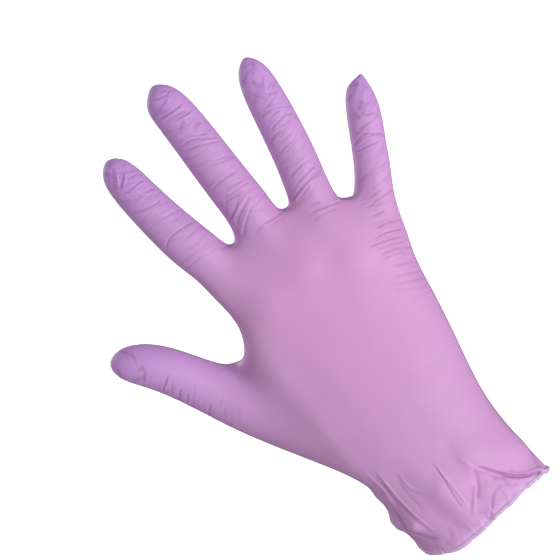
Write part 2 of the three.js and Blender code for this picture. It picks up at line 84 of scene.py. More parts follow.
def add_camera():
    forward = Vector((0, math.cos(VIEW_HEIGHT), -math.sin(VIEW_HEIGHT)))
    level = Vector((1, 0, 0))
    upright = Vector((0, math.sin(VIEW_HEIGHT), math.cos(VIEW_HEIGHT)))
    right = level * math.cos(VIEW_LEAN) - upright * math.sin(VIEW_LEAN)
    up = level * math.sin(VIEW_LEAN) + upright * math.cos(VIEW_LEAN)
    camera = add_object("camera", bpy.data.cameras.new("camera"))
    turn = Matrix((right, up, -forward)).transposed().to_4x4()
    camera.matrix_world = Matrix.Translation(VIEW_CENTRE - forward * VIEW_DISTANCE) @ turn
    camera.data.sensor_width = SENSOR
    camera.data.lens = SENSOR * VIEW_DISTANCE / (PICTURE * PIXEL)
    camera.data.clip_end = VIEW_END
    bpy.context.scene.camera = camera
    return camera


camera = add_camera()
print("Camera lens:", round(camera.data.lens, 1), "mm")

# %% [markdown]
# ## Studio
# Matt rubber shows its form by soft light from one side. A large lamp on the little finger's
# side gives the broad light area on the back of the hand and leaves the thumb's side darker.
# A weaker lamp from the other side keeps the dark side open, and one behind lights the palm.
# The floor is pale and lies below the hem. To the camera, the floor and the wall are plain
# white, so that the outline stands clear of them, while the light that they give is softer.
# A Light Path node tells the camera's rays from the rest, where a mask would cut the edge.

# %% Node helpers
WHITE = (1, 1, 1, 1)


def fill(node, values):
    """Puts a constant, or another node's output, into each named socket of a node"""
    for name, value in values.items():
        socket = node.inputs[name]
        if isinstance(value, bpy.types.NodeSocket):
            node.id_data.links.new(value, socket)
        else:
            socket.default_value = value


def place(tree, kind, values=None, **settings):
    """A new node with its settings, and with values in its sockets"""
    node = tree.nodes.new(kind)
    for name, value in settings.items():
        setattr(node, name, value)
    fill(node, values or {})
    return node


def new_material(name):
    material = bpy.data.materials.new(name)
    material.use_nodes = True
    return material, material.node_tree, material.node_tree.nodes["Principled BSDF"]


# %% Studio
FLOOR_DROP = 0.75
FLOOR_SIZE = 240.0


def add_lamp(name, azimuth, elevation, distance, size, power):
    """A square soft lamp that faces the glove. Azimuth 0 is in front, 90 is on the +X side."""
    around, above = math.radians(azimuth), math.radians(elevation)
    level = math.cos(above)
    way = Vector((math.sin(around) * level, -math.cos(around) * level, math.sin(above)))
    lamp = add_object(name, bpy.data.lights.new(name, "AREA"))
    lamp.data.size = size
    lamp.data.energy = power
    lamp.location = VIEW_CENTRE + way * distance
    lamp.rotation_euler = way.to_track_quat("Z", "Y").to_euler()


def add_floor():
    half = FLOOR_SIZE / 2
    corners = [(-half, -half), (half, -half), (half, half), (-half, half)]
    mesh = new_mesh("floor", [(x, y, -FLOOR_DROP) for x, y in corners], [(0, 1, 2, 3)])
    material, tree, shader = new_material("pale_floor")
    seen = place(tree, "ShaderNodeLightPath").outputs["Is Camera Ray"]
    fill(shader, {
        "Base Color": (0.8, 0.8, 0.81, 1), "Roughness": 0.9,
        "Emission Color": WHITE, "Emission Strength": seen,
    })
    mesh.materials.append(material)
    add_object("floor", mesh)


def add_wall():
    """The surroundings: white to the camera, and a soft light to the glove"""
    world = bpy.data.worlds.new("studio")
    world.use_nodes = True
    tree = world.node_tree
    soft_light = tree.nodes["Background"]
    fill(soft_light, {"Color": (1, 0.99, 1, 1), "Strength": 0.345})
    white = place(tree, "ShaderNodeBackground", {"Color": WHITE})
    seen = place(tree, "ShaderNodeLightPath").outputs["Is Camera Ray"]
    wall = place(tree, "ShaderNodeMixShader", {
        0: seen, 1: soft_light.outputs["Background"], 2: white.outputs["Background"],
    })
    fill(tree.nodes["World Output"], {"Surface": wall.outputs["Shader"]})
    bpy.context.scene.world = world


add_floor()
add_wall()
add_lamp("key_lamp", azimuth=33, elevation=-15, distance=1.5, size=0.7, power=15)
add_lamp("fill_lamp", azimuth=-30, elevation=25, distance=1.8, size=1.2, power=2)
add_lamp("palm_lamp", azimuth=215, elevation=30, distance=1.8, size=1.0, power=12)
bpy.context.scene.view_settings.view_transform = "Standard"

# %% [markdown]
# ## The form of the worn glove
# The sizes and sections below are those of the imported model, in metres. Sections of the cuff
# and the hand are rounded boxes, and sections of a digit are rings of eight points. Every
# length in a table is a share of one of the named sizes, so a longer finger keeps its form.

# %% Sizes and sections
CUFF_LENGTH = 40 * MM
CUFF_WIDTH = 65 * MM
CUFF_DEPTH = 46 * MM
HAND_LENGTH = 120 * MM
HAND_WIDTH = 88 * MM
HAND_DEPTH = 30 * MM
BEAD_DIAMETER = 2.2 * MM
HEM_DROP = 5 * MM
FOLD_DEPTH = 2.2 * MM
KNUCKLE_RISE = 1.3 * MM
PAD_RISE = 3.5 * MM

Digit = namedtuple("Digit", "length width depth")
INDEX = Digit(62 * MM, 20.5 * MM, 18.5 * MM)
MIDDLE = Digit(74 * MM, 20.6 * MM, 19 * MM)
RING = Digit(67.3 * MM, 19 * MM, 17.5 * MM)
LITTLE = Digit(47.9 * MM, 16.2 * MM, 15 * MM)
THUMB = Digit(84 * MM, 22 * MM, 21 * MM)

# up is a share of CUFF_LENGTH, left and right of CUFF_WIDTH, front and back of CUFF_DEPTH
CuffRow = namedtuple("CuffRow", "up left right front back")
CUFF_ROWS = [
    CuffRow(0.08, 0.49, 0.515, 0.47, 0.47),
    CuffRow(0.20, 0.495, 0.505, 0.475, 0.47),
    CuffRow(0.38, 0.513, 0.49, 0.48, 0.475),
    CuffRow(0.56, 0.524, 0.48, 0.48, 0.48),
    CuffRow(0.76, 0.515, 0.472, 0.47, 0.475),
    CuffRow(1.00, 0.527, 0.47, 0.45, 0.47),
]

# up is a share of HAND_LENGTH above the wrist, on the thumb's side. slope says how much higher
# the other side is and bow how much higher the middle is. lined is 1 where the columns of the
# row line up with the fingers.
HandRow = namedtuple("HandRow", "up slope bow left right front back lined")
HAND_ROWS = [
    HandRow(0.11, 0, 0, 0.467, 0.362, 0.66, 0.76, 0.15),
    HandRow(0.37, -0.02, 0, 0.47, 0.43, 0.55, 0.76, 0.45),
    HandRow(0.632, -0.05, 0.02, 0.511, 0.466, 0.49, 0.60, 0.8),
    HandRow(0.74, -0.09, 0.04, 0.434, 0.506, 0.46, 0.53, 0.95),
    HandRow(0.86, -0.11, 0.06, 0.462, 0.537, 0.43, 0.49, 1),
]

# along is a share of the digit's length, wide of its width and deep of its depth. side shifts
# a section sideways and tilt turns it further to the left, in degrees.
# A finger's root lies across and up by shares of HAND_WIDTH and HAND_LENGTH, and turn leans it
# to the left, in degrees. It bows sideways by bend and curls to the palm by curl, shares of its
# length.
Section = namedtuple("Section", "along wide deep side tilt", defaults=(0, 0))
Finger = namedtuple("Finger", "size across up turn bend curl rows")
FINGERS = {
    "index": Finger(INDEX, across=-0.365, up=0.983, turn=9.8, bend=-0.022, curl=0.1, rows=[
        Section(0.00, 1.02, 1.06, side=0.015), Section(0.13, 1.00, 1.03, side=0.012),
        Section(0.31, 0.97, 1.00), Section(0.49, 0.91, 0.98), Section(0.66, 0.87, 0.92),
        Section(0.80, 0.83, 0.85), Section(0.92, 0.71, 0.68), Section(0.99, 0.40, 0.42),
    ]),
    "middle": Finger(MIDDLE, across=-0.068, up=1.00, turn=1.3, bend=0.006, curl=0.07, rows=[
        Section(0.00, 1.08, 1.06), Section(0.11, 0.99, 1.03, side=0.035),
        Section(0.28, 0.97, 1.00), Section(0.46, 0.95, 0.98), Section(0.64, 0.92, 0.92),
        Section(0.80, 0.89, 0.85), Section(0.92, 0.80, 0.70, side=-0.035),
        Section(0.98, 0.42, 0.44, side=-0.01),
    ]),
    "ring": Finger(RING, across=0.227, up=0.955, turn=-9.2, bend=0.012, curl=0.09, rows=[
        Section(0.00, 1.06, 1.08, side=-0.01, tilt=-14), Section(0.12, 0.98, 1.04, side=-0.035),
        Section(0.29, 0.96, 1.00), Section(0.46, 0.94, 0.98), Section(0.64, 0.91, 0.92),
        Section(0.80, 0.85, 0.84), Section(0.91, 0.69, 0.67, side=0.015),
        Section(0.97, 0.40, 0.44, side=0.02),
    ]),
    "little": Finger(LITTLE, across=0.502, up=0.862, turn=-27, bend=0, curl=0.12, rows=[
        Section(0.00, 1.02, 1.10, tilt=9), Section(0.15, 0.97, 1.05),
        Section(0.33, 0.93, 1.00), Section(0.52, 0.94, 0.98), Section(0.68, 0.92, 0.92),
        Section(0.82, 0.82, 0.82, side=-0.02), Section(0.93, 0.60, 0.62, side=-0.045),
        Section(1.00, 0.16, 0.30, side=0.08),
    ]),
}

# The webs, from the index finger's to the little finger's. pinch: share of the gap between two
# fingers by which the web is narrower. lean: share of the gap by which it lies to the left.
# drop: how much lower it lies, as a share of HAND_LENGTH.
Web = namedtuple("Web", "pinch lean drop")
WEBS = [Web(0.82, 0.12, 0), Web(0.5, 0.20, 0.005), Web(0.67, 0.45, 0.035)]

# out, rise and palmward are shares of the thumb's length from its root in the hand's side, and
# turn leans a section to the left, in degrees
ThumbRow = namedtuple("ThumbRow", "out rise wide deep turn palmward")
THUMB_ROOT_ACROSS = -0.485
THUMB_ROOT_UP = 0.352
THUMB_ROWS = [
    ThumbRow(0.120, 0.159, 1.86, 1.26, 77, 0.15),
    ThumbRow(0.212, 0.276, 1.21, 1.10, 56, 0.15),
    ThumbRow(0.285, 0.405, 1.02, 1.02, 46, 0.145),
    ThumbRow(0.375, 0.562, 0.94, 1.00, 44, 0.14),
    ThumbRow(0.455, 0.662, 0.86, 0.92, 44, 0.14),
    ThumbRow(0.525, 0.724, 0.74, 0.74, 48, 0.14),
    ThumbRow(0.580, 0.764, 0.46, 0.46, 52, 0.145),
]
THUMB_TIP = ThumbRow(0.628, 0.793, 0, 0, 52, 0.145)

# turn is in degrees from the little finger's side over the palm, drop a share of HEM_DROP and
# out a share of FOLD_DEPTH
HemWave = namedtuple("HemWave", "turn drop out")
HEM_WAVES = [
    HemWave(0, 0.7, 0.3), HemWave(28, 0.5, -0.3), HemWave(62, 0.1, 0.4),
    HemWave(97, 0.6, -0.4), HemWave(131, 0.2, 0.2), HemWave(159, 0.5, -0.3),
    HemWave(180, -0.9, 0.2), HemWave(208, 0.2, 0.6), HemWave(236, 0.85, 0.5),
    HemWave(258, 0.6, -0.4), HemWave(284, 0.15, 0.3), HemWave(312, 0.05, -0.2),
    HemWave(338, 0.25, 0.2), HemWave(360, 0.7, 0.3),
]

SIDES = 8
RING_GAIN = 1 / (2 / 3 + math.cos(math.tau / SIDES) / 3)    # smoothing draws a ring in
TIP_REACH = 1.04                                            # where a finger's tip point lies
SECTION_POWER = 2.4                                         # 2 is an ellipse, more is squarer
HALF = 3 * len(FINGERS) + 1                                 # columns from side to side
ROUND = 2 * HALF
# how much fuller the back of the hand is in the two columns beside the thumb, in its lowest rows
THUMB_SHOULDER = {HALF + 1: 1.4, HALF + 2: 1.15}
SHOULDER_ROWS = 3
print("Hem to fingertip:", round((CUFF_LENGTH + HAND_LENGTH + MIDDLE.length) / MM), "mm")

# %% [markdown]
# ## The cage
# A coarse cage of four-cornered faces carries the form, and a Subdivision Surface modifier
# rounds it. The hand is a tube of rows, 26 points round. Its top row is shared with the
# fingers' first rings, two more points stand in each web, and the thumb leaves by a hole of
# eight points in its side. That keeps the webs smooth, which a union of tubes would not.

# %% Cage helpers
cage_points = []
cage_faces = []


def add_point(x, y, z):
    cage_points.append(Vector((x, y, z)))
    return len(cage_points) - 1


def smoothstep(x, start, end):
    share = np.clip((x - start) / (end - start), 0, 1)
    return share * share * (3 - 2 * share)


def hem_wave(turn, column):
    """Value of a column of HEM_WAVES, with smooth steps from one row to the next"""
    turn = np.asarray(turn, float) % 360
    turns = np.array([wave.turn for wave in HEM_WAVES], float)
    values = np.array([getattr(wave, column) for wave in HEM_WAVES], float)
    i = np.clip(np.searchsorted(turns, turn, side="right") - 1, 0, len(turns) - 2)
    share = smoothstep(turn, turns[i], turns[i + 1])
    return values[i] + (values[i + 1] - values[i]) * share


def section_points(centre, width, depth, turn, pitch=0.0):
    """A digit's ring. Point 0 is on its right, 2 on the palm's side, 4 on its left, 6 behind."""
    left = math.radians(turn)
    across = Vector((math.cos(left), 0, math.sin(left)))
    along = Vector((-math.sin(left), 0, math.cos(left)))
    palm = Vector((0, math.cos(pitch), 0)) - along * math.sin(pitch)
    angles = [math.tau * k / SIDES for k in range(SIDES)]
    return [
        centre + across * (math.cos(a) * width / 2) + palm * (math.sin(a) * depth / 2)
        for a in angles
    ]


def finger_centre(finger, along, side=0.0):
    """Centre line of a finger: straight, with a sideways bow and a curl that grows to the tip"""
    left = math.radians(finger.turn)
    reach = along * finger.size.length
    bow = finger.bend * finger.size.length * math.sin(math.pi * min(max(along, 0), 1))
    shift = bow + side * finger.size.width
    return Vector((
        finger.across * HAND_WIDTH - reach * math.sin(left) + shift * math.cos(left),
        finger.curl * finger.size.length * along * along,
        CUFF_LENGTH + finger.up * HAND_LENGTH + reach * math.cos(left) + shift * math.sin(left),
    ))


def finger_section(finger, row, gain):
    pitch = math.atan(2 * finger.curl * row.along)
    centre = finger_centre(finger, row.along, row.side)
    width = row.wide * finger.size.width * gain
    depth = row.deep * finger.size.depth * gain
    return section_points(centre, width, depth, finger.turn + row.tilt, pitch)


def thumb_centre(row):
    return Vector((
        THUMB_ROOT_ACROSS * HAND_WIDTH - row.out * THUMB.length,
        row.palmward * THUMB.length,
        CUFF_LENGTH + THUMB_ROOT_UP * HAND_LENGTH + row.rise * THUMB.length,
    ))


# %% Rows of the cuff and the hand
first_sections = [finger_section(f, f.rows[0], 1) for f in FINGERS.values()]
LAST_FINGER = len(FINGERS) - 1
top_row = [None] * ROUND
for j, section in enumerate(first_sections):
    for k in range(3):
        top_row[3 * (LAST_FINGER - j) + 1 + k] = section[1 + k]
        top_row[HALF + 1 + 3 * j + k] = section[5 + k]
top_row[0] = first_sections[LAST_FINGER][0]
top_row[HALF] = first_sections[0][4]
top_centre = (top_row[0].x + top_row[HALF].x) / 2
top_half_width = (top_row[0].x - top_row[HALF].x) / 2


def column_share(k, lined):
    """How far across the hand a column lies, from -1 on the thumb's side to 1"""
    even = math.cos(math.tau * k / ROUND)
    share = even + ((top_row[k].x - top_centre) / top_half_width - even) * lined
    return min(max(share, -1), 1)


def row_points(row, width, depth, lined, height, fuller):
    """fuller: how much fuller the back is in some of the columns"""
    centre = (row.right - row.left) * width / 2
    half = (row.right + row.left) * width / 2
    points = []
    for k in range(ROUND):
        share = column_share(k, lined)
        side = (1 - abs(share) ** SECTION_POWER) ** (1 / SECTION_POWER)
        front = row.front * fuller.get(k, 1)
        reach = 0 if k % HALF == 0 else (row.back if k < HALF else -front) * depth
        points.append(add_point(centre + half * share, reach * side, height(share, k)))
    return points


def cuff_row(row, hang):
    def height(share, k):
        return row.up * CUFF_LENGTH - hang * float(hem_wave(360 * k / ROUND, "drop"))
    return row_points(row, CUFF_WIDTH, CUFF_DEPTH, 0, height, {})


def hand_row(row, fuller):
    def height(share, k):
        level = row.up + row.slope * (share + 1) / 2 + row.bow * (1 - share * share)
        return CUFF_LENGTH + level * HAND_LENGTH
    return row_points(row, HAND_WIDTH, HAND_DEPTH, row.lined, height, fuller)


rows = [cuff_row(row, HEM_DROP if row is CUFF_ROWS[0] else 0) for row in CUFF_ROWS]
rows += [hand_row(row, THUMB_SHOULDER if i < SHOULDER_ROWS else {})
         for i, row in enumerate(HAND_ROWS)]
rows.append([add_point(*point) for point in top_row])
THUMB_START = len(CUFF_ROWS)

for i in range(len(rows) - 1):
    for k in range(ROUND):
        after = (k + 1) % ROUND
        at_thumb = i in (THUMB_START, THUMB_START + 1) and k in (HALF - 1, HALF)
        if not at_thumb:
            cage_faces.append((rows[i][k], rows[i][after], rows[i + 1][after], rows[i + 1][k]))
print("Rows:", len(rows), "of", ROUND, "points")


# %% Fingers and thumb
def add_digit(ring, sections, tip):
    """A closed tube from a ring of eight points through the given sections to a tip"""
    for section in sections:
        above = [add_point(*point) for point in section]
        for k in range(SIDES):
            after = (k + 1) % SIDES
            cage_faces.append((ring[k], ring[after], above[after], above[k]))
        ring = above
    end = add_point(*tip)
    for k in range(0, SIDES, 2):
        cage_faces.append((end, ring[k - 1], ring[k], ring[k + 1]))


def web_point(j, neighbour):
    """The point of a finger's first ring on the side where its neighbour stands"""
    web = WEBS[min(j, neighbour)]
    right, left = 0, SIDES // 2
    own = first_sections[j][right if neighbour > j else left]
    other = first_sections[neighbour][left if neighbour > j else right]
    place = own.lerp(other, web.pinch / 2)
    gap = abs(other.x - own.x)
    return add_point(place.x - web.lean * gap, place.y, place.z - web.drop * HAND_LENGTH)


def base_ring(j):
    """A finger's first ring: points of the hand's top row, and one in the web on each side"""
    palm = rows[-1][3 * (LAST_FINGER - j) + 1:][:3]
    behind = rows[-1][HALF + 1 + 3 * j:][:3]
    right = rows[-1][0] if j == LAST_FINGER else web_point(j, j + 1)
    left = rows[-1][HALF] if j == 0 else web_point(j, j - 1)
    return [right, *palm, left, *behind]


base_rings = [base_ring(j) for j in range(len(FINGERS))]
for ring, finger in zip(base_rings, FINGERS.values()):
    sections = [finger_section(finger, row, RING_GAIN) for row in finger.rows[1:]]
    add_digit(ring, sections, finger_centre(finger, TIP_REACH, finger.rows[-1].side))
for this, other in zip(base_rings, base_rings[1:]):
    cage_faces.append((this[7], other[5], other[4], this[0]))
    cage_faces.append((this[0], other[4], other[3], this[1]))

low, mid, high = rows[THUMB_START:THUMB_START + 3]
thumb_ring = [
    high[HALF], high[HALF - 1], mid[HALF - 1], low[HALF - 1],
    low[HALF], low[HALF + 1], mid[HALF + 1], high[HALF + 1],
]
thumb_sections = [
    section_points(thumb_centre(row), row.wide * THUMB.width * RING_GAIN,
                   row.deep * THUMB.depth * RING_GAIN, row.turn)
    for row in THUMB_ROWS
]
add_digit(thumb_ring, thumb_sections, thumb_centre(THUMB_TIP))
print("Cage:", len(cage_points), "points,", len(cage_faces), "faces")


# %% The smooth film
@contextmanager
def opened(mesh):
    """A mesh's points, edges and faces, open for changes that go back into it"""
    shell = bmesh.new()
    shell.from_mesh(mesh)
    yield shell
    shell.to_mesh(mesh)
    shell.free()


def smooth_film(levels):
    """A new mesh: the cage, rounded by a Subdivision Surface modifier"""
    mesh = new_mesh("cage", [tuple(point) for point in cage_points], cage_faces)
    with opened(mesh) as shell:
        loose = [v for v in shell.verts if not v.link_faces]
        bmesh.ops.delete(shell, geom=loose, context="VERTS")
    cage = add_object("cage", mesh)
    modifier = cage.modifiers.new("round", "SUBSURF")
    modifier.levels = levels
    modifier.use_limit_surface = True
    modifier.boundary_smooth = "ALL"
    graph = bpy.context.evaluated_depsgraph_get()
    film = bpy.data.meshes.new_from_object(cage.evaluated_get(graph))
    bpy.data.objects.remove(cage)
    bpy.data.meshes.remove(mesh)
    return film


def read(items, name, width, kind=float):
    """One property of all of a mesh's points, normals or edges, as rows of numbers"""
    values = np.empty(len(items) * width, kind)
    items.foreach_get(name, values)
    return values.reshape(-1, width)


def points_of(mesh):
    return read(mesh.vertices, "co", 3)


def normals_of(mesh):
    return read(mesh.vertex_normals, "vector", 3, np.float32).astype(float)


OUTER_LEVELS = 3
INNER_LEVELS = 2
outer_film = smooth_film(OUTER_LEVELS)
inner_film = smooth_film(INNER_LEVELS)
print("Outer film:", len(outer_film.polygons), "faces, inner:", len(inner_film.polygons))

# %% [markdown]
# ## Broad relief
# Knuckles press through the back, pads through the palm, and the loose cuff hangs in folds.
# A sculpted mask could push them out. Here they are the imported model's own short tables, which
# move the film along its normals. One fold, beside the deep one, is shallower than there,
# because the real one shows only as a crease, and the creases below draw it.

# %% Broad relief
# across and reach are shares of HAND_WIDTH, up of HAND_LENGTH above the wrist, and rise of
# KNUCKLE_RISE or PAD_RISE
Bump = namedtuple("Bump", "across up reach rise")
KNUCKLES = [
    Bump(-0.27, 0.76, 0.10, 1.0), Bump(-0.01, 0.80, 0.10, 1.0), Bump(0.20, 0.715, 0.09, 0.9),
    Bump(0.42, 0.66, 0.09, 0.6), Bump(-0.62, 0.51, 0.12, 0.8),
]
PADS = [
    Bump(-0.33, 0.36, 0.26, 1.0), Bump(0.30, 0.34, 0.22, 0.7), Bump(-0.25, 0.80, 0.14, 0.35),
    Bump(0.18, 0.78, 0.14, 0.35), Bump(-0.02, 0.52, 0.20, -0.6),
]

# turn is in degrees from the little finger's side over the palm, up a share of CUFF_LENGTH,
# width of CUFF_WIDTH and depth of FOLD_DEPTH, less than 0 for a valley
Fold = namedtuple("Fold", "turn up to_turn to_up width depth")
FOLDS = [
    Fold(346, 0.12, 284, 0.44, 0.08, -0.7), Fold(340, 0.38, 286, 0.70, 0.12, 0.5),
    Fold(278, 0.95, 270, 0.35, 0.05, -0.15), Fold(252, 0.60, 258, 0.00, 0.07, 0.5),
    Fold(230, 0.95, 242, 0.20, 0.07, -0.35), Fold(180, 0.84, 212, 0.80, 0.05, 0.35),
    Fold(182, 0.50, 216, 0.40, 0.05, 0.9),
    Fold(24, 0.10, 70, 0.75, 0.10, -0.7), Fold(80, 0.05, 96, 0.80, 0.10, 0.7),
    Fold(118, 0.15, 140, 0.85, 0.10, -0.8),
]
FOLDS_END = 1.4               # share of CUFF_LENGTH up to which there are folds
HEM_REACH = 0.2               # share of CUFF_LENGTH over which the hem's waves die away
CUFF_RADIUS = CUFF_WIDTH / 2


def nearest_on(points, line):
    """For each point: the nearest leg of a line, the share of that leg, and the distance"""
    start, run = line[:-1], np.diff(line, axis=0)
    offset = points[:, None, :] - start
    share = np.clip((offset * run).sum(2) / (run ** 2).sum(1), 0, 1)
    away = np.linalg.norm(offset - share[:, :, None] * run, axis=2)
    leg = np.argmin(away, axis=1)
    pick = np.arange(len(points)), leg
    return leg, share[pick], away[pick]


def bumps_at(points, table, rise):
    total = np.zeros(len(points))
    for bump in table:
        dx = points[:, 0] - bump.across * HAND_WIDTH
        dz = points[:, 2] - CUFF_LENGTH - bump.up * HAND_LENGTH
        total += bump.rise * rise * np.exp(-(dx * dx + dz * dz) / (bump.reach * HAND_WIDTH) ** 2)
    return total


def cuff_turn(points):
    """Degrees round the cuff, from the little finger's side over the palm"""
    turn = np.arctan2(points[:, 1] / CUFF_DEPTH, points[:, 0] / CUFF_WIDTH)
    return np.degrees(turn) % 360


def folds_at(points):
    turn = cuff_turn(points)
    places = np.stack([np.radians(turn) * CUFF_RADIUS, points[:, 2]], 1)
    total = np.zeros(len(points))
    for fold in FOLDS:
        ends = np.array([(math.radians(fold.turn) * CUFF_RADIUS, fold.up * CUFF_LENGTH),
                         (math.radians(fold.to_turn) * CUFF_RADIUS, fold.to_up * CUFF_LENGTH)])
        away = nearest_on(places, ends)[2] / (fold.width * CUFF_WIDTH)
        total += fold.depth * FOLD_DEPTH * np.exp(-away * away)
    turned_out = hem_wave(turn, "out") * np.exp(-points[:, 2] / (HEM_REACH * CUFF_LENGTH))
    total += turned_out * FOLD_DEPTH
    return np.where(points[:, 2] < FOLDS_END * CUFF_LENGTH, total, 0)


def broad_relief(points, normals):
    return (bumps_at(points, KNUCKLES, KNUCKLE_RISE) * np.maximum(-normals[:, 1], 0)
            + bumps_at(points, PADS, PAD_RISE) * np.maximum(normals[:, 1], 0)
            + folds_at(points))


relief = broad_relief(points_of(outer_film), normals_of(outer_film))
print("Broad relief from", round(relief.min() / MM, 2), "to", round(relief.max() / MM, 2), "mm")

# %% [markdown]
# ## Creases
# What makes thin rubber look thin is its creases: short valleys and ridges where the slack
# film gives way, across the joints, in fans from the webs, and in a rumple over each nail.
# Cloth simulation would need a hand inside the glove. A crease here is a short curve through
# a few places on a patch of the glove, with a width and a depth. A digit's patch is unrolled:
# how far along, as a share of its length, and how far round, in degrees from the middle of
# its back, with the little finger's side positive. The palm's side of a digit is at 180.

# %% A crease
# path: places on the patch. width: share of CREASE_WIDTH. depth: share of CREASE_DEPTH, less
# than 0 for a ridge. lip: how high the film stands beside a valley, as a share of its depth,
# on the left of its run, or on the right where it is less than 0.
Crease = namedtuple("Crease", "path width depth lip", defaults=(0,))
CREASE_WIDTH = 0.52 * MM
CREASE_DEPTH = 0.25 * MM
CREASE_REACH = 4.0            # widths from its line at which a crease is gone
LIP_PLACE = 1.7               # widths from the line to the top of the lip
LIP_WIDTH = 0.8               # widths over which the lip falls away on each side
CURVE_STEPS = 5               # steps along the curve for each place on the path
OVERRUN = 0.1                 # share of its path by which a crease runs on past each end
END_FADE = 0.25               # share of its run over which a crease fades in and out


def curve_through(path):
    """Points along the smooth curve through a crease's few places"""
    path = np.asarray(path, float)
    steps = np.r_[0, np.cumsum(np.hypot(*np.diff(path, axis=0).T))]
    at = np.linspace(-OVERRUN, 1 + OVERRUN, CURVE_STEPS * len(path) + 1)
    degree = len(path) - 1
    curves = [np.polyfit(steps / steps[-1], path[:, i], degree) for i in (0, 1)]
    return np.stack([np.polyval(curve, at) for curve in curves], 1)


def crease_height(places, line, width, depth, lip):
    """Height of a crease at some places, all in metres on the unrolled patch"""
    leg, share, away = nearest_on(places, line)
    run = np.diff(line, axis=0)
    off = places - line[leg] - share[:, None] * run[leg]
    side = np.sign(run[leg, 0] * off[:, 1] - run[leg, 1] * off[:, 0])
    along = (leg + share) / len(run)
    fade = smoothstep(along, 0, END_FADE) * smoothstep(1 - along, 0, END_FADE)
    ratio = away / width
    valley = -np.exp(-ratio ** 2)
    beside = abs(lip) * np.exp(-((side * np.sign(lip) * ratio - LIP_PLACE) / LIP_WIDTH) ** 2)
    return depth * fade * (valley + beside)


def add_creases(total, u, v, weight, creases, scale, period=None):
    """Adds the creases of one patch. period is the way round it, where it is unrolled."""
    for crease in creases:
        line = curve_through(np.asarray(crease.path) * scale)
        width = crease.width * CREASE_WIDTH
        middle = line[:, 1].mean()
        w = v if period is None else (v - middle + period / 2) % period - period / 2 + middle
        reach = CREASE_REACH * width
        low, high = line.min(0) - reach, line.max(0) + reach
        near = np.flatnonzero((weight > 0) & (u > low[0]) & (u < high[0])
                              & (w > low[1]) & (w < high[1]))
        if len(near):
            places = np.stack([u[near], w[near]], 1)
            depth = crease.depth * CREASE_DEPTH
            total[near] += weight[near] * crease_height(places, line, width, depth, crease.lip)


# %% Unrolling a digit
Spine = namedtuple("Spine", "centres across half_width half_depth length radius start end")
SPINE_START = -0.2            # share of a finger's length at which its spine starts
SPINE_PLACES = 25
NARROWEST = 0.2               # share of the thumb's width and depth at the end of its spine


def finger_spine(finger):
    shares = np.linspace(SPINE_START, TIP_REACH, SPINE_PLACES)
    size = finger.size
    left = math.radians(finger.turn)
    centres = np.array([finger_centre(finger, share) for share in shares])
    across = np.tile([math.cos(left), 0, math.sin(left)], (len(shares), 1))
    return Spine(centres, across, np.full(len(shares), size.width / 2),
                 np.full(len(shares), size.depth / 2), size.length,
                 (size.width + size.depth) / 4, SPINE_START, TIP_REACH)


def thumb_spine():
    stations = THUMB_ROWS + [THUMB_TIP]
    turns = np.radians([row.turn for row in stations])
    across = np.stack([np.cos(turns), np.zeros(len(turns)), np.sin(turns)], 1)
    half_width = np.array([max(row.wide, NARROWEST) for row in stations]) * THUMB.width / 2
    half_depth = np.array([max(row.deep, NARROWEST) for row in stations]) * THUMB.depth / 2
    centres = np.array([thumb_centre(row) for row in stations])
    return Spine(centres, across, half_width, half_depth, THUMB.length,
                 (THUMB.width + THUMB.depth) / 4, 0, 1)


SPINES = {name: finger_spine(finger) for name, finger in FINGERS.items()}
SPINES["thumb"] = thumb_spine()


def unroll(points, spine):
    """Share along a digit, degrees round it from the middle of its back, and nearness"""
    leg, part, away = nearest_on(points, spine.centres)
    run = np.diff(spine.centres, axis=0)
    lengths = np.r_[0, np.cumsum(np.linalg.norm(run, axis=1))]
    reach = (lengths[leg] + part * np.diff(lengths)[leg]) / lengths[-1]
    along = spine.start + (spine.end - spine.start) * reach

    def between(values):
        mix = part if values.ndim == 1 else part[:, None]
        return values[leg] * (1 - mix) + values[leg + 1] * mix

    out = points - spine.centres[leg] - part[:, None] * run[leg]
    right = (out * between(spine.across)).sum(1) / between(spine.half_width)
    back = -out[:, 1] / between(spine.half_depth)
    return along, np.degrees(np.arctan2(right, back)), away / between(spine.half_width)


print("Spines:", {name: round(spine.length / MM) for name, spine in SPINES.items()})

# %% [markdown]
# ### Creases of the digits
# Each table follows one finger from its tip to its root. The nail end is slack, so its
# creases are deep and cross each other. Below it they run across the finger at its joints,
# and at the root they fan out from the web that the spread fingers pull on.

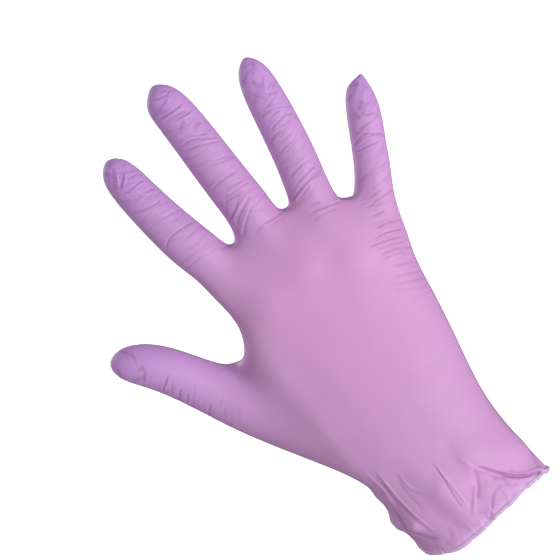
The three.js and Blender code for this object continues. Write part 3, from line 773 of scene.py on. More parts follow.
# %% Creases of the index finger
DIGIT_CREASES = {}
DIGIT_CREASES["index"] = [
    Crease([(0.94, 3), (0.88, -24), (0.83, -44)], 1.2, 1.0),
    Crease([(0.93, 14), (0.86, -10), (0.80, -28)], 1.0, -1.2),
    Crease([(0.87, 23), (0.83, -2), (0.80, -28)], 1.1, 1.4),
    Crease([(0.86, 27), (0.83, 8), (0.79, -14)], 0.9, -1.1),
    Crease([(0.81, 10), (0.81, 30), (0.79, 58)], 0.8, 1.0),
    Crease([(0.77, -26), (0.75, 2), (0.75, 29), (0.73, 56)], 0.9, 1.3, 0.5),
    Crease([(0.91, 30), (0.91, 55)], 0.8, 0.9),
    Crease([(0.97, -15), (0.97, 22)], 0.9, 0.8),
    Crease([(0.67, 28), (0.65, 52)], 0.9, 0.9),
    Crease([(0.64, 2), (0.63, 36)], 0.9, 0.6),
    Crease([(0.64, -38), (0.58, 2), (0.56, 40)], 1.0, 1.1, -0.5),
    Crease([(0.55, 18), (0.51, 66)], 0.9, 0.8),
    Crease([(0.45, 18), (0.42, 62)], 0.9, 0.7),
    Crease([(0.40, 12), (0.39, 46)], 0.9, 0.6),
    Crease([(0.29, 64), (0.33, 17), (0.34, -15), (0.31, -48)], 1.0, 1.5, 0.5),
    Crease([(0.26, -6), (0.25, 30)], 1.0, 0.4),
    Crease([(0.19, -6), (0.17, 30)], 1.0, 0.4),
]

# %% Creases of the middle finger
DIGIT_CREASES["middle"] = [
    Crease([(0.95, -42), (0.92, 2), (0.92, 44)], 0.9, 1.1, -0.4),
    Crease([(0.88, -30), (0.89, 8)], 0.9, 1.0),
    Crease([(0.87, 0), (0.92, 40)], 1.0, -1.0),
    Crease([(0.83, -50), (0.82, -7), (0.82, 38)], 1.0, 1.7, 0.5),
    Crease([(0.77, -6), (0.76, 23), (0.76, 50)], 1.0, 1.2, 0.5),
    Crease([(0.71, -17), (0.74, 8)], 1.8, 1.2),
    Crease([(0.67, 15), (0.68, 46)], 1.8, 1.2),
    Crease([(0.63, -42), (0.62, -2), (0.59, 22), (0.55, 58)], 1.0, 1.6, -0.6),
    Crease([(0.60, -46), (0.57, 2), (0.52, 58)], 1.0, 1.1, -0.4),
    Crease([(0.61, 3), (0.61, 29), (0.58, 44)], 0.8, 0.7),
    Crease([(0.46, 2), (0.44, 27), (0.41, 64)], 1.0, 0.8),
    Crease([(0.33, -46), (0.34, -7), (0.33, 36)], 1.0, 1.1, -0.4),
    Crease([(0.28, -18), (0.28, 6), (0.27, 34)], 0.8, 0.9),
    Crease([(0.27, -26), (0.26, 10), (0.26, 36)], 0.8, -0.9),
    Crease([(0.25, -20), (0.25, 13), (0.24, 50)], 0.8, 0.9),
    Crease([(0.23, -24), (0.22, 16)], 0.8, 0.7),
    Crease([(0.12, -62), (0.16, -27), (0.21, 4)], 0.9, 1.5),
    Crease([(0.10, -58), (0.15, -24), (0.17, -4), (0.19, 24)], 1.0, -1.6),
    Crease([(0.08, -50), (0.13, -17), (0.17, 22)], 0.9, 1.5),
    Crease([(0.03, -58), (0.08, -25), (0.13, 6)], 0.9, -1.3),
    Crease([(0.01, -48), (0.08, -16), (0.12, 12)], 0.9, 1.2),
    Crease([(0.15, -68), (0.22, -34), (0.27, -16)], 0.8, 0.8),
]

# %% Creases of the ring finger
DIGIT_CREASES["ring"] = [
    Crease([(0.94, -26), (0.95, 13), (0.94, 50)], 0.9, 0.9),
    Crease([(0.85, -16), (0.81, -8), (0.80, 14)], 1.8, 1.4),
    Crease([(0.82, 24), (0.74, 6)], 0.9, -1.2),
    Crease([(0.75, 13), (0.78, 42)], 1.0, 0.8),
    Crease([(0.74, 0), (0.72, 17), (0.72, 44)], 0.9, 1.2),
    Crease([(0.79, -42), (0.74, -22), (0.71, 2)], 1.0, 0.8),
    Crease([(0.67, -16), (0.64, 34)], 0.8, 0.5),
    Crease([(0.63, 10), (0.59, 62)], 0.8, 0.7),
    Crease([(0.61, -46), (0.63, -16), (0.63, 6)], 0.9, 1.0, 0.4),
    Crease([(0.58, -22), (0.60, -1), (0.60, 22)], 0.8, 1.2, -0.5),
    Crease([(0.56, -2), (0.56, 25), (0.55, 58)], 0.8, 1.0),
    Crease([(0.51, -36), (0.54, -12), (0.55, 6)], 0.9, 1.5, -0.6),
    Crease([(0.51, -6), (0.52, 36)], 0.8, 0.8),
    Crease([(0.46, -50), (0.48, -25), (0.48, -6)], 0.9, 1.1, -0.4),
    Crease([(0.36, -38), (0.39, -11), (0.40, 8)], 0.8, 0.9, 0.5),
    Crease([(0.26, -22), (0.27, 3), (0.29, 22)], 0.8, 0.7),
    Crease([(0.20, -38), (0.23, -9), (0.25, 34)], 0.9, 1.0, 0.5),
    Crease([(0.13, -40), (0.17, -6), (0.20, 36)], 0.9, 1.2, 0.5),
    Crease([(0.05, -74), (0.11, -24), (0.14, 6), (0.16, 52)], 0.9, 1.7),
    Crease([(0.05, -56), (0.10, -20), (0.14, 16)], 0.9, -1.3),
    Crease([(0.04, -44), (0.08, -19), (0.10, 0)], 0.9, 0.9),
    Crease([(0.13, 6), (0.14, 26), (0.13, 54)], 0.8, 0.9),
    Crease([(0.20, 20), (0.18, 60)], 0.8, 0.7),
    Crease([(0.43, -30), (0.44, 24)], 0.9, 0.35),
    Crease([(0.32, -10), (0.34, 40)], 0.9, 0.35),
]

# %% Creases of the little finger and the thumb
DIGIT_CREASES["little"] = [
    Crease([(0.92, -46), (0.92, -6)], 1.6, 1.6),
    Crease([(0.69, -26), (0.77, -4)], 2.0, 1.6),
    Crease([(0.66, -20), (0.64, 3), (0.65, 30)], 0.9, 1.4, 0.4),
    Crease([(0.67, -48), (0.62, -20)], 1.8, 1.3),
    Crease([(0.52, -36), (0.57, 4)], 0.9, 0.9),
    Crease([(0.49, -48), (0.52, -12)], 0.9, 0.8),
    Crease([(0.49, -30), (0.48, -4), (0.47, 18), (0.44, 70)], 0.8, 1.4),
    Crease([(0.38, -60), (0.45, -33), (0.48, -2)], 1.0, 1.6, -0.4),
    Crease([(0.36, -56), (0.42, -24), (0.45, 20)], 0.9, -1.2),
    Crease([(0.34, -48), (0.37, -11), (0.40, 32)], 0.9, 1.5, -0.6),
    Crease([(0.01, -22), (0.04, 12)], 0.9, 0.7),
]
DIGIT_CREASES["thumb"] = [
    Crease([(0.82, -58), (0.75, -24)], 2.0, 1.6),
    Crease([(0.80, -16), (0.76, 2)], 1.8, 1.1),
    Crease([(0.60, -4), (0.60, -30), (0.60, -64)], 1.0, 1.3, -0.5),
    Crease([(0.56, -14), (0.53, -48)], 0.9, 0.7),
    Crease([(0.49, -28), (0.46, -68)], 0.9, 1.0),
    Crease([(0.44, -26), (0.41, -60)], 0.9, 0.8),
    Crease([(0.33, -24), (0.30, -56)], 0.9, 0.6),
    Crease([(0.28, -24), (0.24, -72)], 0.9, 0.9, -0.4),
    Crease([(0.23, 6), (0.21, -20)], 0.9, -0.6),
]
print("Creases:", {name: len(table) for name, table in DIGIT_CREASES.items()})

# %% [markdown]
# ### Creases of the palm's side of the digits
# Where a finger bends, the film on the palm's side bunches into a few strong folds across
# the finger, with finer ones beside them. They repeat from joint to joint, so one function
# makes them from the joints' places. The small differences come from a seeded generator.

# %% Creases at the joints
rng = np.random.default_rng(31)
# where the joints lie, as shares of the digit's length
JOINTS = {
    "index": (0.04, 0.37, 0.66), "middle": (0.06, 0.38, 0.67), "ring": (0.06, 0.38, 0.66),
    "little": (0.06, 0.40, 0.68), "thumb": (0.20, 0.62),
}
# offset from the joint and spread are shares of the digit's length, reach is in degrees
JointFold = namedtuple("JointFold", "offset reach width depth")
JOINT_FOLDS = [
    JointFold(0.000, 74, 1.2, 1.5), JointFold(0.030, 56, 1.0, 1.0),
    JointFold(-0.035, 48, 1.0, 0.9), JointFold(0.065, 36, 0.9, 0.6),
    JointFold(-0.070, 34, 0.9, 0.5),
]
PALM_SIDE = 180
JOINT_LIP = 0.4               # lip of each of them, as in the tables of creases


def across_path(at, sag, slant, middle, reach):
    """A path across a digit that sags in its middle and slants"""
    return [(at - slant, middle - reach), (at + sag, middle), (at + slant, middle + reach)]


def joint_creases(joints):
    creases = []
    for joint in joints:
        for fold in JOINT_FOLDS:
            along = joint + fold.offset + rng.normal(0, 0.006)
            middle = PALM_SIDE + rng.normal(0, 10)
            sag = rng.normal(0, 0.012)
            slant = rng.normal(0, 0.014)
            reach = fold.reach * rng.uniform(0.8, 1.1)
            depth = fold.depth * rng.uniform(0.75, 1.15)
            path = across_path(along, sag, slant, middle, reach)
            creases.append(Crease(path, fold.width, depth, JOINT_LIP))
    return creases


def slack_creases(count, along, turn, reach, width, depth, slope=0.0):
    """Fine short creases across a digit, spread over a stretch of it. slope: share of the
    digit's length by which a crease climbs to each side"""
    creases = []
    for place in np.linspace(*along, count):
        middle = rng.uniform(*turn)
        at = place + rng.normal(0, 0.01)
        slant = slope + rng.normal(0, 0.012)
        half = reach * rng.uniform(0.6, 1.2)
        path = across_path(at, rng.normal(0, 0.008), slant, middle, half)
        creases.append(Crease(path, width, depth * rng.uniform(0.5, 1.2)))
    return creases


FINGER_CREASED = (-50, 50)    # where the fine creases cross a finger's back, in degrees round it
THUMB_CREASED = (-95, -45)    # and the thumb's side away from the fingers
# how the fine creases of each digit's back climb towards the little finger's side
SLOPES = {"index": -0.03, "middle": -0.02, "ring": 0.04, "little": 0.05, "thumb": 0.03}
for name, joints in JOINTS.items():
    table, slope = DIGIT_CREASES[name], SLOPES[name]
    around = THUMB_CREASED if name == "thumb" else FINGER_CREASED
    table += joint_creases(joints)
    table += slack_creases(9, (0.74, 0.97), (90, 270), reach=26, width=1.1, depth=0.8)
    table += slack_creases(12, (0.05, 0.72), (110, 250), reach=24, width=0.9, depth=0.4)
    table += slack_creases(34, (0.08, 0.74), around, reach=44, width=0.68, depth=0.5, slope=slope)
    table += slack_creases(8, (0.74, 0.98), (-60, 60), reach=28, width=1.2, depth=0.8, slope=slope)
print("With the palm's side:", {name: len(table) for name, table in DIGIT_CREASES.items()})

# %% [markdown]
# ### Creases of the hand
# The back is tight and nearly smooth. Fans of creases rise from the webs, and the edge
# under the little finger carries many fine ones, because the spread fingers leave the film
# slack there. The palm has the lines along which a hand closes. Places are shares of the
# hand's width from its middle, and of its length above the wrist.

# %% Creases of the hand
BACK_CREASES = [
    Crease([(-0.110, 0.993), (-0.055, 1.000)], 0.9, 0.7),
    Crease([(-0.048, 1.003), (0.001, 0.998), (0.058, 0.992)], 0.9, 1.1),
    Crease([(-0.030, 0.985), (0.010, 0.982), (0.060, 0.974)], 0.9, 0.7),
    Crease([(-0.290, 1.016), (-0.232, 1.004)], 1.4, 1.2),
    Crease([(0.190, 0.957), (0.243, 0.946)], 0.8, 0.9),
    Crease([(0.210, 0.928), (0.258, 0.919), (0.322, 0.903)], 0.8, 1.5, 0.6),
    Crease([(0.146, 0.926), (0.210, 0.931), (0.276, 0.916)], 0.8, 0.9),
    Crease([(0.150, 0.902), (0.226, 0.906), (0.304, 0.882)], 0.8, 0.7),
    Crease([(0.444, 0.853), (0.512, 0.853)], 0.8, 1.0, 0.4),
    Crease([(0.426, 0.832), (0.486, 0.830), (0.562, 0.819)], 0.8, 1.2, 0.5),
    Crease([(0.436, 0.815), (0.488, 0.814)], 0.8, 0.8),
    Crease([(0.416, 0.792), (0.474, 0.782)], 0.8, 0.8),
    Crease([(0.378, 0.756), (0.432, 0.746), (0.510, 0.718)], 0.8, 1.3, 0.5),
    Crease([(0.350, 0.727), (0.406, 0.720), (0.490, 0.686)], 0.8, 1.4, 0.5),
    Crease([(0.304, 0.713), (0.368, 0.702), (0.450, 0.674)], 0.8, 1.1, 0.4),
    Crease([(0.330, 0.691), (0.391, 0.676), (0.458, 0.651)], 0.8, 0.9),
    Crease([(0.325, 0.666), (0.385, 0.657), (0.470, 0.616)], 0.8, 1.2, 0.4),
    Crease([(0.320, 0.650), (0.379, 0.638), (0.440, 0.613)], 0.8, 0.8),
    Crease([(0.330, 0.615), (0.455, 0.562)], 0.9, 0.7),
    Crease([(0.305, 0.581), (0.448, 0.530)], 0.9, 0.7),
    Crease([(0.285, 0.561), (0.441, 0.498)], 0.9, 0.6),
    Crease([(0.275, 0.537), (0.434, 0.466)], 0.9, 0.5),
]
PALM_CREASES = [
    Crease([(-0.44, 0.84), (-0.22, 0.70), (-0.06, 0.46), (-0.08, 0.14)], 2.2, 2.2, 0.3),
    Crease([(-0.42, 0.86), (-0.10, 0.80), (0.22, 0.66), (0.40, 0.60)], 2.0, 1.8, 0.3),
    Crease([(0.46, 0.78), (0.26, 0.80), (0.04, 0.86), (-0.14, 0.96)], 2.0, 1.8, 0.3),
    Crease([(-0.02, 0.70), (0.02, 0.44), (0.00, 0.16)], 1.8, 1.0),
    Crease([(-0.30, 0.03), (0.00, 0.05), (0.30, 0.02)], 1.8, 1.8, 0.4),
    Crease([(-0.26, -0.03), (0.02, -0.01), (0.26, -0.04)], 1.6, 1.2, 0.4),
]


FAN_REACH = 0.09              # share of the hand's size
FAN_DROP = 0.015              # share of HAND_LENGTH by which a fan starts below its web
FAN_SPREAD = 0.02             # share of HAND_WIDTH
FAN_LEAN = 0.9                # the outermost crease's angle, in radians


def web_fans(count):
    """Creases that fan down the palm from under each web"""
    creases = []
    names = list(FINGERS)
    for this, other in zip(names, names[1:]):
        across = (FINGERS[this].across + FINGERS[other].across) / 2
        up = (FINGERS[this].up + FINGERS[other].up) / 2
        for lean in np.linspace(-FAN_LEAN, FAN_LEAN, count):
            reach = FAN_REACH * rng.uniform(0.7, 1.2)
            start = (across + FAN_SPREAD * lean, up - FAN_DROP)
            end = (start[0] + reach * math.sin(lean), start[1] - reach * math.cos(lean))
            creases.append(Crease([start, end], 1.0, rng.uniform(0.7, 1.3)))
    return creases


def edge_creases(count, up, across, reach, depth):
    """Fine creases across the edge of the hand"""
    creases = []
    for place in np.linspace(*up, count):
        at = place + rng.normal(0, 0.004)
        middle = across + rng.normal(0, 0.02)
        half = reach * rng.uniform(0.6, 1.2)
        slant = 0.25 * half + rng.normal(0, 0.004)
        path = [(middle - half, at + slant), (middle + half, at - slant)]
        creases.append(Crease(path, 0.8, depth * rng.uniform(0.6, 1.2)))
    return creases


BACK_CREASES += edge_creases(26, up=(0.44, 0.86), across=0.43, reach=0.055, depth=0.45)
PALM_CREASES += web_fans(5)
PALM_CREASES += edge_creases(22, up=(0.40, 0.88), across=0.42, reach=0.08, depth=0.8)
print("Creases of the back:", len(BACK_CREASES), "of the palm:", len(PALM_CREASES))

# %% [markdown]
# ### Creases of the cuff
# The cuff is wider than the wrist, so it hangs in folds. One deep fold runs in from the hem
# on the little finger's side and the film above it rolls over. Beside it are a sharp pleat
# and long soft ridges towards the thumb's side. Places are shares of the cuff's length above
# the hem, and degrees round it from the little finger's side over the palm.

# %% Creases of the cuff
CUFF_CREASES = [
    Crease([(-0.02, 346), (0.10, 324), (0.18, 311), (0.33, 300)], 1.3, 3.6, 0.5),
    Crease([(0.12, 319), (0.22, 308), (0.35, 299), (0.56, 287)], 1.2, 2.6, 0.4),
    Crease([(0.30, 300), (0.42, 291), (0.60, 283), (0.78, 279)], 1.7, -1.3),
    Crease([(0.29, 297), (0.40, 291), (0.52, 285)], 1.2, 1.1),
    Crease([(0.62, 284), (0.52, 283), (0.40, 279), (0.28, 270)], 1.5, 1.5),
    Crease([(0.88, 258), (0.68, 259), (0.51, 258), (0.28, 258)], 0.9, 1.2),
    Crease([(0.84, 261), (0.64, 261), (0.45, 262), (0.26, 261)], 0.9, -1.4),
    Crease([(0.42, 278), (0.31, 270), (0.16, 262)], 1.5, -1.3),
    Crease([(0.42, 274), (0.30, 267), (0.17, 259)], 1.4, 0.5),
    Crease([(0.19, 290), (0.08, 292), (0.02, 280)], 1.7, -1.5),
    Crease([(0.25, 292), (0.19, 282), (0.08, 275), (-0.01, 266)], 1.3, 1.3),
    Crease([(0.10, 315), (0.06, 305), (0.09, 294)], 1.2, 1.2),
    Crease([(1.02, 233), (0.86, 232), (0.75, 235), (0.68, 243)], 1.4, -1.2),
    Crease([(0.92, 228), (0.77, 228), (0.64, 230), (0.50, 231)], 1.4, 0.8),
    Crease([(1.14, 220), (0.80, 219), (0.49, 224), (0.27, 228)], 1.2, -1.8),
    Crease([(1.13, 215), (0.80, 215), (0.51, 220), (0.27, 225)], 1.0, 0.9),
    Crease([(1.19, 212), (1.00, 211), (0.85, 211), (0.68, 210)], 1.1, -1.2),
    Crease([(1.16, 217), (0.98, 216), (0.81, 215), (0.64, 213)], 0.9, 0.7),
    Crease([(0.65, 205), (0.46, 208), (0.29, 214), (0.15, 228)], 2.0, 1.6),
    Crease([(0.19, 243), (0.02, 239)], 1.2, -0.7),
    Crease([(0.21, 239), (0.06, 236)], 1.1, 0.6),
]


def cuff_wrinkles(count):
    """Soft slanting creases round the rest of the cuff, towards the palm"""
    creases = []
    for turn in np.linspace(14, 190, count):
        start = rng.uniform(0.05, 0.5)
        rise = rng.uniform(0.3, 0.6)
        lean = rng.normal(0, 12)
        bow = rng.normal(0, 4)
        path = [(start, turn), (start + rise / 2, turn + lean / 2 + bow), (start + rise, turn + lean)]
        depth = rng.choice([-1, 1]) * rng.uniform(0.8, 1.8)
        creases.append(Crease(path, rng.uniform(1.2, 2.2), depth))
    return creases


def front_rumple(count):
    """Small soft creases between the deep fold and the hem, on the back of the hand's side"""
    creases = []
    for _ in range(count):
        up, turn = rng.uniform(0.04, 0.34), rng.uniform(262, 312)
        slant = rng.uniform(-9, 9)
        half = rng.uniform(0.04, 0.09)
        bow = rng.normal(0, 2.5)
        path = [(up - half, turn - slant), (up, turn + bow), (up + half, turn + slant)]
        depth = rng.choice([-1, 1]) * rng.uniform(0.3, 0.7)
        creases.append(Crease(path, rng.uniform(1.2, 2.2), depth))
    return creases


def hem_gathers(count):
    """Short creases that run up from the hem, where the roll draws the film in"""
    creases = []
    for turn in np.linspace(0, 360, count, endpoint=False):
        middle = turn + rng.normal(0, 3)
        foot = -0.02 - 0.12 * float(hem_wave(middle, "drop"))
        path = [(foot, middle), (foot + rng.uniform(0.12, 0.3), middle + rng.normal(0, 5))]
        depth = rng.choice([-1, 1]) * rng.uniform(0.4, 1.1)
        creases.append(Crease(path, rng.uniform(0.9, 1.5), depth))
    return creases


CUFF_CREASES += cuff_wrinkles(16)
CUFF_CREASES += hem_gathers(40)
CUFF_CREASES += front_rumple(18)
print("Creases of the cuff:", len(CUFF_CREASES))


# %% All creases together
CREASE_LIMIT = 0.36 * MM      # crossing creases of the digits and the hand never add up past this
DIGIT_REACH = 1.5             # half widths from a digit's spine up to which a place is on it
ROOT_FADE = (0.02, 0.12)      # shares of a digit's length over which its creases fade in
BACK_TURN = (-0.25, 0.35)     # how far a normal faces back where the palm turns into the back
CUFF_FADE = (1.2, 1.5)        # shares of CUFF_LENGTH over which the cuff's creases fade out


def fine_relief(points, normals):
    total = np.zeros(len(points))
    for name, spine in SPINES.items():
        along, turn, nearness = unroll(points, spine)
        fade = smoothstep(along, *(spine.start + share for share in ROOT_FADE))
        weight = np.where(nearness < DIGIT_REACH, fade, 0)
        scale = np.array([spine.length, math.radians(1) * spine.radius])
        add_creases(total, along * scale[0], turn * scale[1], weight, DIGIT_CREASES[name],
                    scale, math.tau * spine.radius)
    scale = np.array([HAND_WIDTH, HAND_LENGTH])
    across, up = points[:, 0], points[:, 2] - CUFF_LENGTH
    behind = smoothstep(-normals[:, 1], *BACK_TURN)
    add_creases(total, across, up, behind, BACK_CREASES, scale)
    add_creases(total, across, up, 1 - behind, PALM_CREASES, scale)
    total = CREASE_LIMIT * np.tanh(total / CREASE_LIMIT)
    scale = np.array([CUFF_LENGTH, math.radians(1) * CUFF_RADIUS])
    weight = 1 - smoothstep(points[:, 2], *(share * CUFF_LENGTH for share in CUFF_FADE))
    add_creases(total, points[:, 2], cuff_turn(points) * scale[1], weight, CUFF_CREASES,
                scale, math.tau * CUFF_RADIUS)
    return total


def whole_relief(points, normals):
    return broad_relief(points, normals) + fine_relief(points, normals)


# %% [markdown]
# ## Points where the creases need them
# A crease is about a millimetre wide. A grid fine enough for it everywhere would be far too
# heavy, so an edge is cut in two only where its middle would miss the creased film by more
# than about two hundredths of a millimetre. The rest of the film keeps its wide faces. A
# Multiresolution modifier with sculpted creases would need that fine grid everywhere.

# %% Refinement
PASSES = [0.024 * MM, 0.020 * MM, 0.018 * MM]          # the miss that is allowed in each pass


def refine(mesh, allowed):
    points, normals = points_of(mesh), normals_of(mesh)
    height = whole_relief(points, normals)
    a, b = read(mesh.edges, "vertices", 2, int).T
    middle = (points[a] + points[b]) / 2
    normal = normals[a] + normals[b]
    normal /= np.linalg.norm(normal, axis=1)[:, None]
    miss = np.abs(whole_relief(middle, normal) - (height[a] + height[b]) / 2)
    with opened(mesh) as shell:
        shell.edges.ensure_lookup_table()
        chosen = [shell.edges[i] for i in np.flatnonzero(miss > allowed)]
        bmesh.ops.subdivide_edges(shell, edges=chosen, cuts=1, use_grid_fill=True,
                                  use_single_edge=True)
    mesh.update()
    return len(chosen)


for allowed in PASSES:
    count = refine(outer_film, allowed)
    print("Cut", count, "edges, now", len(outer_film.polygons), "faces")


# %% [markdown]
# ## Skin and hem
# The outer film is creased, the inner film lies just inside it, and the hem joins them by a
# small roll. Deeper in the glove the inner film keeps further away, where it can't be seen,
# so that no crease of the outer one breaks through it. A Solidify modifier would also give
# two walls, but its even wall would cross itself in the creases, and its rim has no roll.

# %% Walls
FILM = 0.40 * MM              # from the outer film to the inner one at the hem
DEEP_FILM = 1.5 * MM          # the same deep inside
FILM_GROWS = (0.1, 1.0)       # shares of CUFF_LENGTH between which it grows


def ordered_border(mesh):
    """Vertices of the open edge in order, from the one nearest the little finger's side"""
    edge_of = {}
    with opened(mesh) as shell:
        for edge in shell.edges:
            if edge.is_boundary:
                loop = edge.link_loops[0]
                edge_of[loop.vert.index] = loop.link_loop_next.vert.index
    points = points_of(mesh)
    start = max(edge_of, key=lambda i: points[i, 0])
    border = [start]
    while edge_of[border[-1]] != start:
        border.append(edge_of[border[-1]])
    return border


def faces_of(mesh):
    return [tuple(face.vertices) for face in mesh.polygons]


outer_points, outer_normals = points_of(outer_film), normals_of(outer_film)
fine = fine_relief(outer_points, outer_normals)
outer_points += outer_normals * (broad_relief(outer_points, outer_normals) + fine)[:, None]

inner_points, inner_normals = points_of(inner_film), normals_of(inner_film)
grown = smoothstep(inner_points[:, 2], *(share * CUFF_LENGTH for share in FILM_GROWS))
gap = FILM + (DEEP_FILM - FILM) * grown
inner_relief = broad_relief(inner_points, inner_normals) + np.minimum(
    fine_relief(inner_points, inner_normals), 0)
inner_points += inner_normals * (inner_relief - gap)[:, None]
print("Creases from", round(fine.min() / MM, 2), "to", round(fine.max() / MM, 2), "mm")


# %% Rolled hem
ROLL_ANGLES = range(-64, 245, 22)            # degrees round it, from the outer film to the inner
# where the roll is thicker or thinner: waves round the hem, with their share of its size
ROLL_WAVES = [(3, 0.10, 0.4), (7, 0.07, 2.0), (13, 0.05, 4.1), (31, 0.05, 1.0)]
ROLL_INWARD = 0.45                           # how far inside the film it lies, in radii


def rolled_hem(points, normals, border):
    """Rings of points round the hem, each a list in the border's order"""
    edge = points[border]
    run = np.roll(edge, -1, axis=0) - np.roll(edge, 1, axis=0)
    run /= np.linalg.norm(run, axis=1)[:, None]
    out = normals[border] - (normals[border] * run).sum(1)[:, None] * run
    out /= np.linalg.norm(out, axis=1)[:, None]
    down = np.cross(out, run)
    down *= -np.sign(down[:, 2])[:, None]
    turn = np.radians(cuff_turn(edge))
    radius = BEAD_DIAMETER / 2 * (1 + sum(
        share * np.sin(waves * turn + phase) for waves, share, phase in ROLL_WAVES))
    centre = edge + (down - ROLL_INWARD * out) * radius[:, None]
    rings = []
    for degrees in ROLL_ANGLES:
        angle = math.radians(degrees)
        way = out * math.cos(angle) + down * math.sin(angle)
        rings.append(centre + way * radius[:, None])
    return rings


def creased_normals(points, faces):
    mesh = new_mesh("creased", points.tolist(), faces)
    normals = normals_of(mesh)
    bpy.data.meshes.remove(mesh)
    return normals


def zip_rings(a, b):
    """Triangles between two closed rings that run the same way from the same side"""
    faces = []
    i = j = 0
    while i < len(a) or j < len(b):
        if j == len(b) or (i < len(a) and i * len(b) <= j * len(a)):
            faces.append((a[i % len(a)], b[j % len(b)], a[(i + 1) % len(a)]))
            i += 1
        else:
            faces.append((a[i % len(a)], b[j % len(b)], b[(j + 1) % len(b)]))
            j += 1
    return faces


outer_faces = faces_of(outer_film)
outer_border = ordered_border(outer_film)
inner_border = [i + len(outer_points) for i in ordered_border(inner_film)]
smooth_normals = creased_normals(outer_points, outer_faces)
rings = rolled_hem(outer_points, smooth_normals, outer_border)

all_points = np.concatenate([outer_points, inner_points] + rings)
all_faces = outer_faces + [
    tuple(i + len(outer_points) for i in reversed(face)) for face in faces_of(inner_film)
]
inside_start, inside_end = len(outer_faces), len(all_faces)
previous = outer_border
for r in range(len(rings)):
    first = len(outer_points) + len(inner_points) + r * len(outer_border)
    ring = range(first, first + len(outer_border))
    for k in range(len(ring)):
        after = (k + 1) % len(ring)
        all_faces.append((previous[k], ring[k], ring[after], previous[after]))
    previous = ring
all_faces += zip_rings(previous, inner_border)
print("Glove:", len(all_points), "points,", len(all_faces), "faces")

# %% The glove's mesh
glove_mesh = new_mesh("nitrile_glove", all_points.tolist(), all_faces)
with opened(glove_mesh) as shell:
    bmesh.ops.recalc_face_normals(shell, faces=shell.faces)
    open_edges = sum(not edge.is_manifold for edge in shell.edges)
    volume = shell.calc_volume(signed=True)
glove_mesh.shade_smooth()
glove = add_object("nitrile_glove", glove_mesh)
triangles = sum(len(face.vertices) - 2 for face in glove_mesh.polygons)
print("Triangles:", triangles, "open edges:", open_edges, "film:", round(volume * 1e9), "mm3")

# %% [markdown]
# ## Where the film is slack and where it is tight
# Nitrile changes colour with its thickness. Stretched over the knuckles it is pale and a
# little pinker, and slack at the fingertips and in the rolled hem it is deeper and more
# violet. It could be painted on. Here values stored at the points say how slack, tight or
# rolled the film is there, and a fourth how deep it lies in a crease, where the colour is
# darkened as painted shade, so they follow its form.

# %% Slack, tight and rolled
SLACK_STEPS = [(-0.1, 0), (0.15, 0.35), (0.60, 0.55), (0.98, 1)]      # along a digit, slackness
TIGHT_BACK = 0.6              # how tight the middle of the back is, where a knuckle is 1
TIGHT_ACROSS = (0.06, 0.5)    # its middle and its reach, shares of HAND_WIDTH
TIGHT_UP = (0.6, 0.4)         # its middle and its reach, shares of HAND_LENGTH
ROLLED_REACH = 2.5 * MM       # how far above the hem the roll's colour fades out


def store(mesh, name, values):
    attribute = mesh.attributes.new(name, "FLOAT", "POINT")
    attribute.data.foreach_set("value", values.astype(np.float32))


slack = np.zeros(len(all_points))
for name, spine in SPINES.items():
    along, turn, nearness = unroll(all_points, spine)
    here = np.interp(along, *zip(*SLACK_STEPS))
    slack = np.maximum(slack, np.where(nearness < DIGIT_REACH, here, 0))
off_across = (all_points[:, 0] / HAND_WIDTH - TIGHT_ACROSS[0]) / TIGHT_ACROSS[1]
off_up = ((all_points[:, 2] - CUFF_LENGTH) / HAND_LENGTH - TIGHT_UP[0]) / TIGHT_UP[1]
tight = bumps_at(all_points, KNUCKLES, 1.0) + TIGHT_BACK * np.exp(-off_across ** 2 - off_up ** 2)
rolled = np.zeros(len(all_points))
rolled[len(outer_points) + len(inner_points):] = 1
hem_height = hem_wave(cuff_turn(all_points), "drop")
above_hem = all_points[:, 2] - CUFF_ROWS[0].up * CUFF_LENGTH + hem_height * HEM_DROP
rolled = np.maximum(rolled, 1 - smoothstep(above_hem, 0, ROLLED_REACH))
# How deep each point lies in a crease, by which the colour darkens there as painted shade
crease_shade = np.zeros(len(all_points))
crease_shade[:len(outer_points)] = np.clip(-fine / CREASE_DEPTH, 0, 1)
store(glove_mesh, "slack", slack)
store(glove_mesh, "tight", np.clip(tight, 0, 1))
store(glove_mesh, "rolled", rolled)
store(glove_mesh, "crease_shade", crease_shade)
print("Slack points:", int((slack > 0.5).sum()), "rolled:", int((rolled > 0.5).sum()))

# %% [markdown]
# ## Nitrile
# The rubber is matt and slightly waxy. Its colour is mixed from the four stored values and a
# soft noise, because a dipped film is never quite even. Where the film lies deep in a crease,
# the mix darkens it as painted shade, and a painted shade also darkens it where the line of
# sight runs along the film. Both sides of the film use the same mix, so it is a node group
# with named inputs, and so is the fine grain. Layer Weight stays in the material. The inner
# side has its own material: its colour is a shade darker, and it has more shine from the
# coating that lets a hand in.

# %% Film colour
COLOUR = "NodeSocketColor"
NUMBER = "NodeSocketFloat"
CLOUD_SCALE = 55              # the noises' scales: more is finer
GLOSS_SCALE = 130
RUMPLE_SCALE = 420
SKIN_SCALE = 2600


def new_group(name, inputs, output, kind):
    """A node group with its given values, and the node that takes its result"""
    group = bpy.data.node_groups.new(name, "ShaderNodeTree")
    for label, (socket_type, value) in inputs.items():
        socket = group.interface.new_socket(label, in_out="INPUT", socket_type=socket_type)
        socket.default_value = value
    group.interface.new_socket(output, in_out="OUTPUT", socket_type=kind)
    given = place(group, "NodeGroupInput").outputs
    return group, given, place(group, "NodeGroupOutput")


def noise(tree, scale, detail):
    coordinates = place(tree, "ShaderNodeTexCoord").outputs["Object"]
    values = {"Vector": coordinates, "Scale": scale, "Detail": detail}
    return place(tree, "ShaderNodeTexNoise", values).outputs["Fac"]


def stored(tree, name):
    return place(tree, "ShaderNodeAttribute", attribute_name=name).outputs["Fac"]


def reckon(tree, operation, *values):
    return place(tree, "ShaderNodeMath", dict(enumerate(values)), operation=operation).outputs[0]


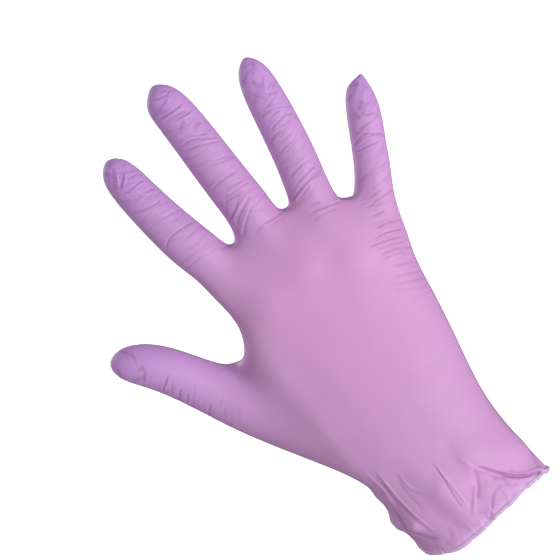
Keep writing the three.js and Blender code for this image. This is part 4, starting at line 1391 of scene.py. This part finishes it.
def mixed(tree, factor, a, b):
    values = {"Factor": factor, 6: a, 7: b}
    return place(tree, "ShaderNodeMix", values, data_type="RGBA").outputs[2]


def ranged(tree, value, low, high, start, end):
    """A value that runs from low to high while the given one runs from start to end"""
    return place(tree, "ShaderNodeMapRange", {
        "Value": value, "From Min": start, "From Max": end, "To Min": low, "To Max": high,
    }).outputs["Result"]


def film_colour_group():
    group, given, result = new_group("film_colour", {
        "Film": (COLOUR, (0.64, 0.33, 0.63, 1)),
        "Slack film": (COLOUR, (0.64, 0.345, 0.79, 1)),
        "Tight film": (COLOUR, (0.66, 0.33, 0.63, 1)),
        "Rolled film": (COLOUR, (0.67, 0.43, 0.73, 1)),
        # The next dark colour and its share are painted shade in the creases
        "Painted crease shade": (COLOUR, (0.36, 0.13, 0.36, 1)),
        "Crease shade share": (NUMBER, 0.42),
        "Unevenness": (NUMBER, 0.10),
    }, "Color", COLOUR)
    colour = given["Film"]
    for state in ("tight", "slack", "rolled"):
        colour = mixed(group, stored(group, state), colour, given[state.capitalize() + " film"])
    # Painted shade: the dark colour is mixed in by how deep the point lies in a crease
    crease_shade_share = reckon(group, "MULTIPLY", stored(group, "crease_shade"), given["Crease shade share"])
    colour = mixed(group, crease_shade_share, colour, given["Painted crease shade"])
    cloudy = reckon(group, "SUBTRACT", noise(group, CLOUD_SCALE, 3), 0.5)
    value = reckon(group, "MULTIPLY_ADD", cloudy, given["Unevenness"], 1.0)
    shaded = place(group, "ShaderNodeHueSaturation", {"Color": colour, "Value": value})
    fill(result, {"Color": shaded.outputs["Color"]})
    return group


def film_grain_group():
    """Height of the fine grain: the skin of the dried film and a faint rumple"""
    group, given, result = new_group("film_grain", {"Grain": (NUMBER, 0.35)}, "Height", NUMBER)
    rumple = noise(group, RUMPLE_SCALE, 2)
    skin = noise(group, SKIN_SCALE, 3)
    values = {0: given["Grain"], 2: rumple, 3: skin}
    mix = place(group, "ShaderNodeMix", values, data_type="FLOAT")
    fill(result, {"Height": mix.outputs[0]})
    return group


film_colour = film_colour_group()
film_grain = film_grain_group()
print("Node groups:", film_colour.name, film_grain.name)

# %% Film materials
# Painted shade at the outline: the colour darkens where the line of sight runs along the film
OUTLINE_SHADE_COLOUR = (0.30, 0.14, 0.31, 1)      # where the line of sight runs along the film
OUTLINE_SHADE_SHARE = 0.55
OUTLINE_SHADE_START = 0.62                        # how far the film has turned away where it starts
GRAIN_DEPTH = 0.10 * MM


def nitrile(name, roughness, colours):
    material, tree, shader = new_material(name)
    colour = place(tree, "ShaderNodeGroup", node_tree=film_colour)
    fill(colour, colours)
    # Layer Weight's Facing darkens the colour towards the outline, as painted shade
    facing = place(tree, "ShaderNodeLayerWeight", {"Blend": 0.5}).outputs["Facing"]
    edge = ranged(tree, facing, 0.0, OUTLINE_SHADE_SHARE, OUTLINE_SHADE_START, 1.0)
    grain = place(tree, "ShaderNodeGroup", node_tree=film_grain)
    bump = place(tree, "ShaderNodeBump", {
        "Strength": 0.55, "Distance": GRAIN_DEPTH, "Height": grain.outputs["Height"],
    })
    fill(shader, {
        "Base Color": mixed(tree, edge, colour.outputs["Color"], OUTLINE_SHADE_COLOUR),
        "Roughness": ranged(tree, noise(tree, GLOSS_SCALE, 2), *roughness, 0.3, 0.7),
        "Normal": bump.outputs["Normal"], "IOR": 1.45, "Subsurface Weight": 0.12,
        "Subsurface Radius": (1.0, 0.5, 0.9), "Subsurface Scale": 1.2 * MM,
    })
    return material


# A darker colour for the inner film than for the outer one
inner_colour = (0.56, 0.28, 0.54, 1)
glove_mesh.materials.append(nitrile("nitrile_outside", (0.50, 0.60), {}))
glove_mesh.materials.append(nitrile("nitrile_inside", (0.38, 0.50), {
    "Film": inner_colour, "Tight film": inner_colour,
}))
slots = np.zeros(len(glove_mesh.polygons), int)
slots[inside_start:inside_end] = 1
glove_mesh.polygons.foreach_set("material_index", slots)
print("Materials:", [m.name for m in glove_mesh.materials])

# %% [markdown]
# ## Joining the frame
# The glove is one piece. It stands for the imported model's solid and moves with its one body.

# %% Frame
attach(glove, "root")
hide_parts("glove")
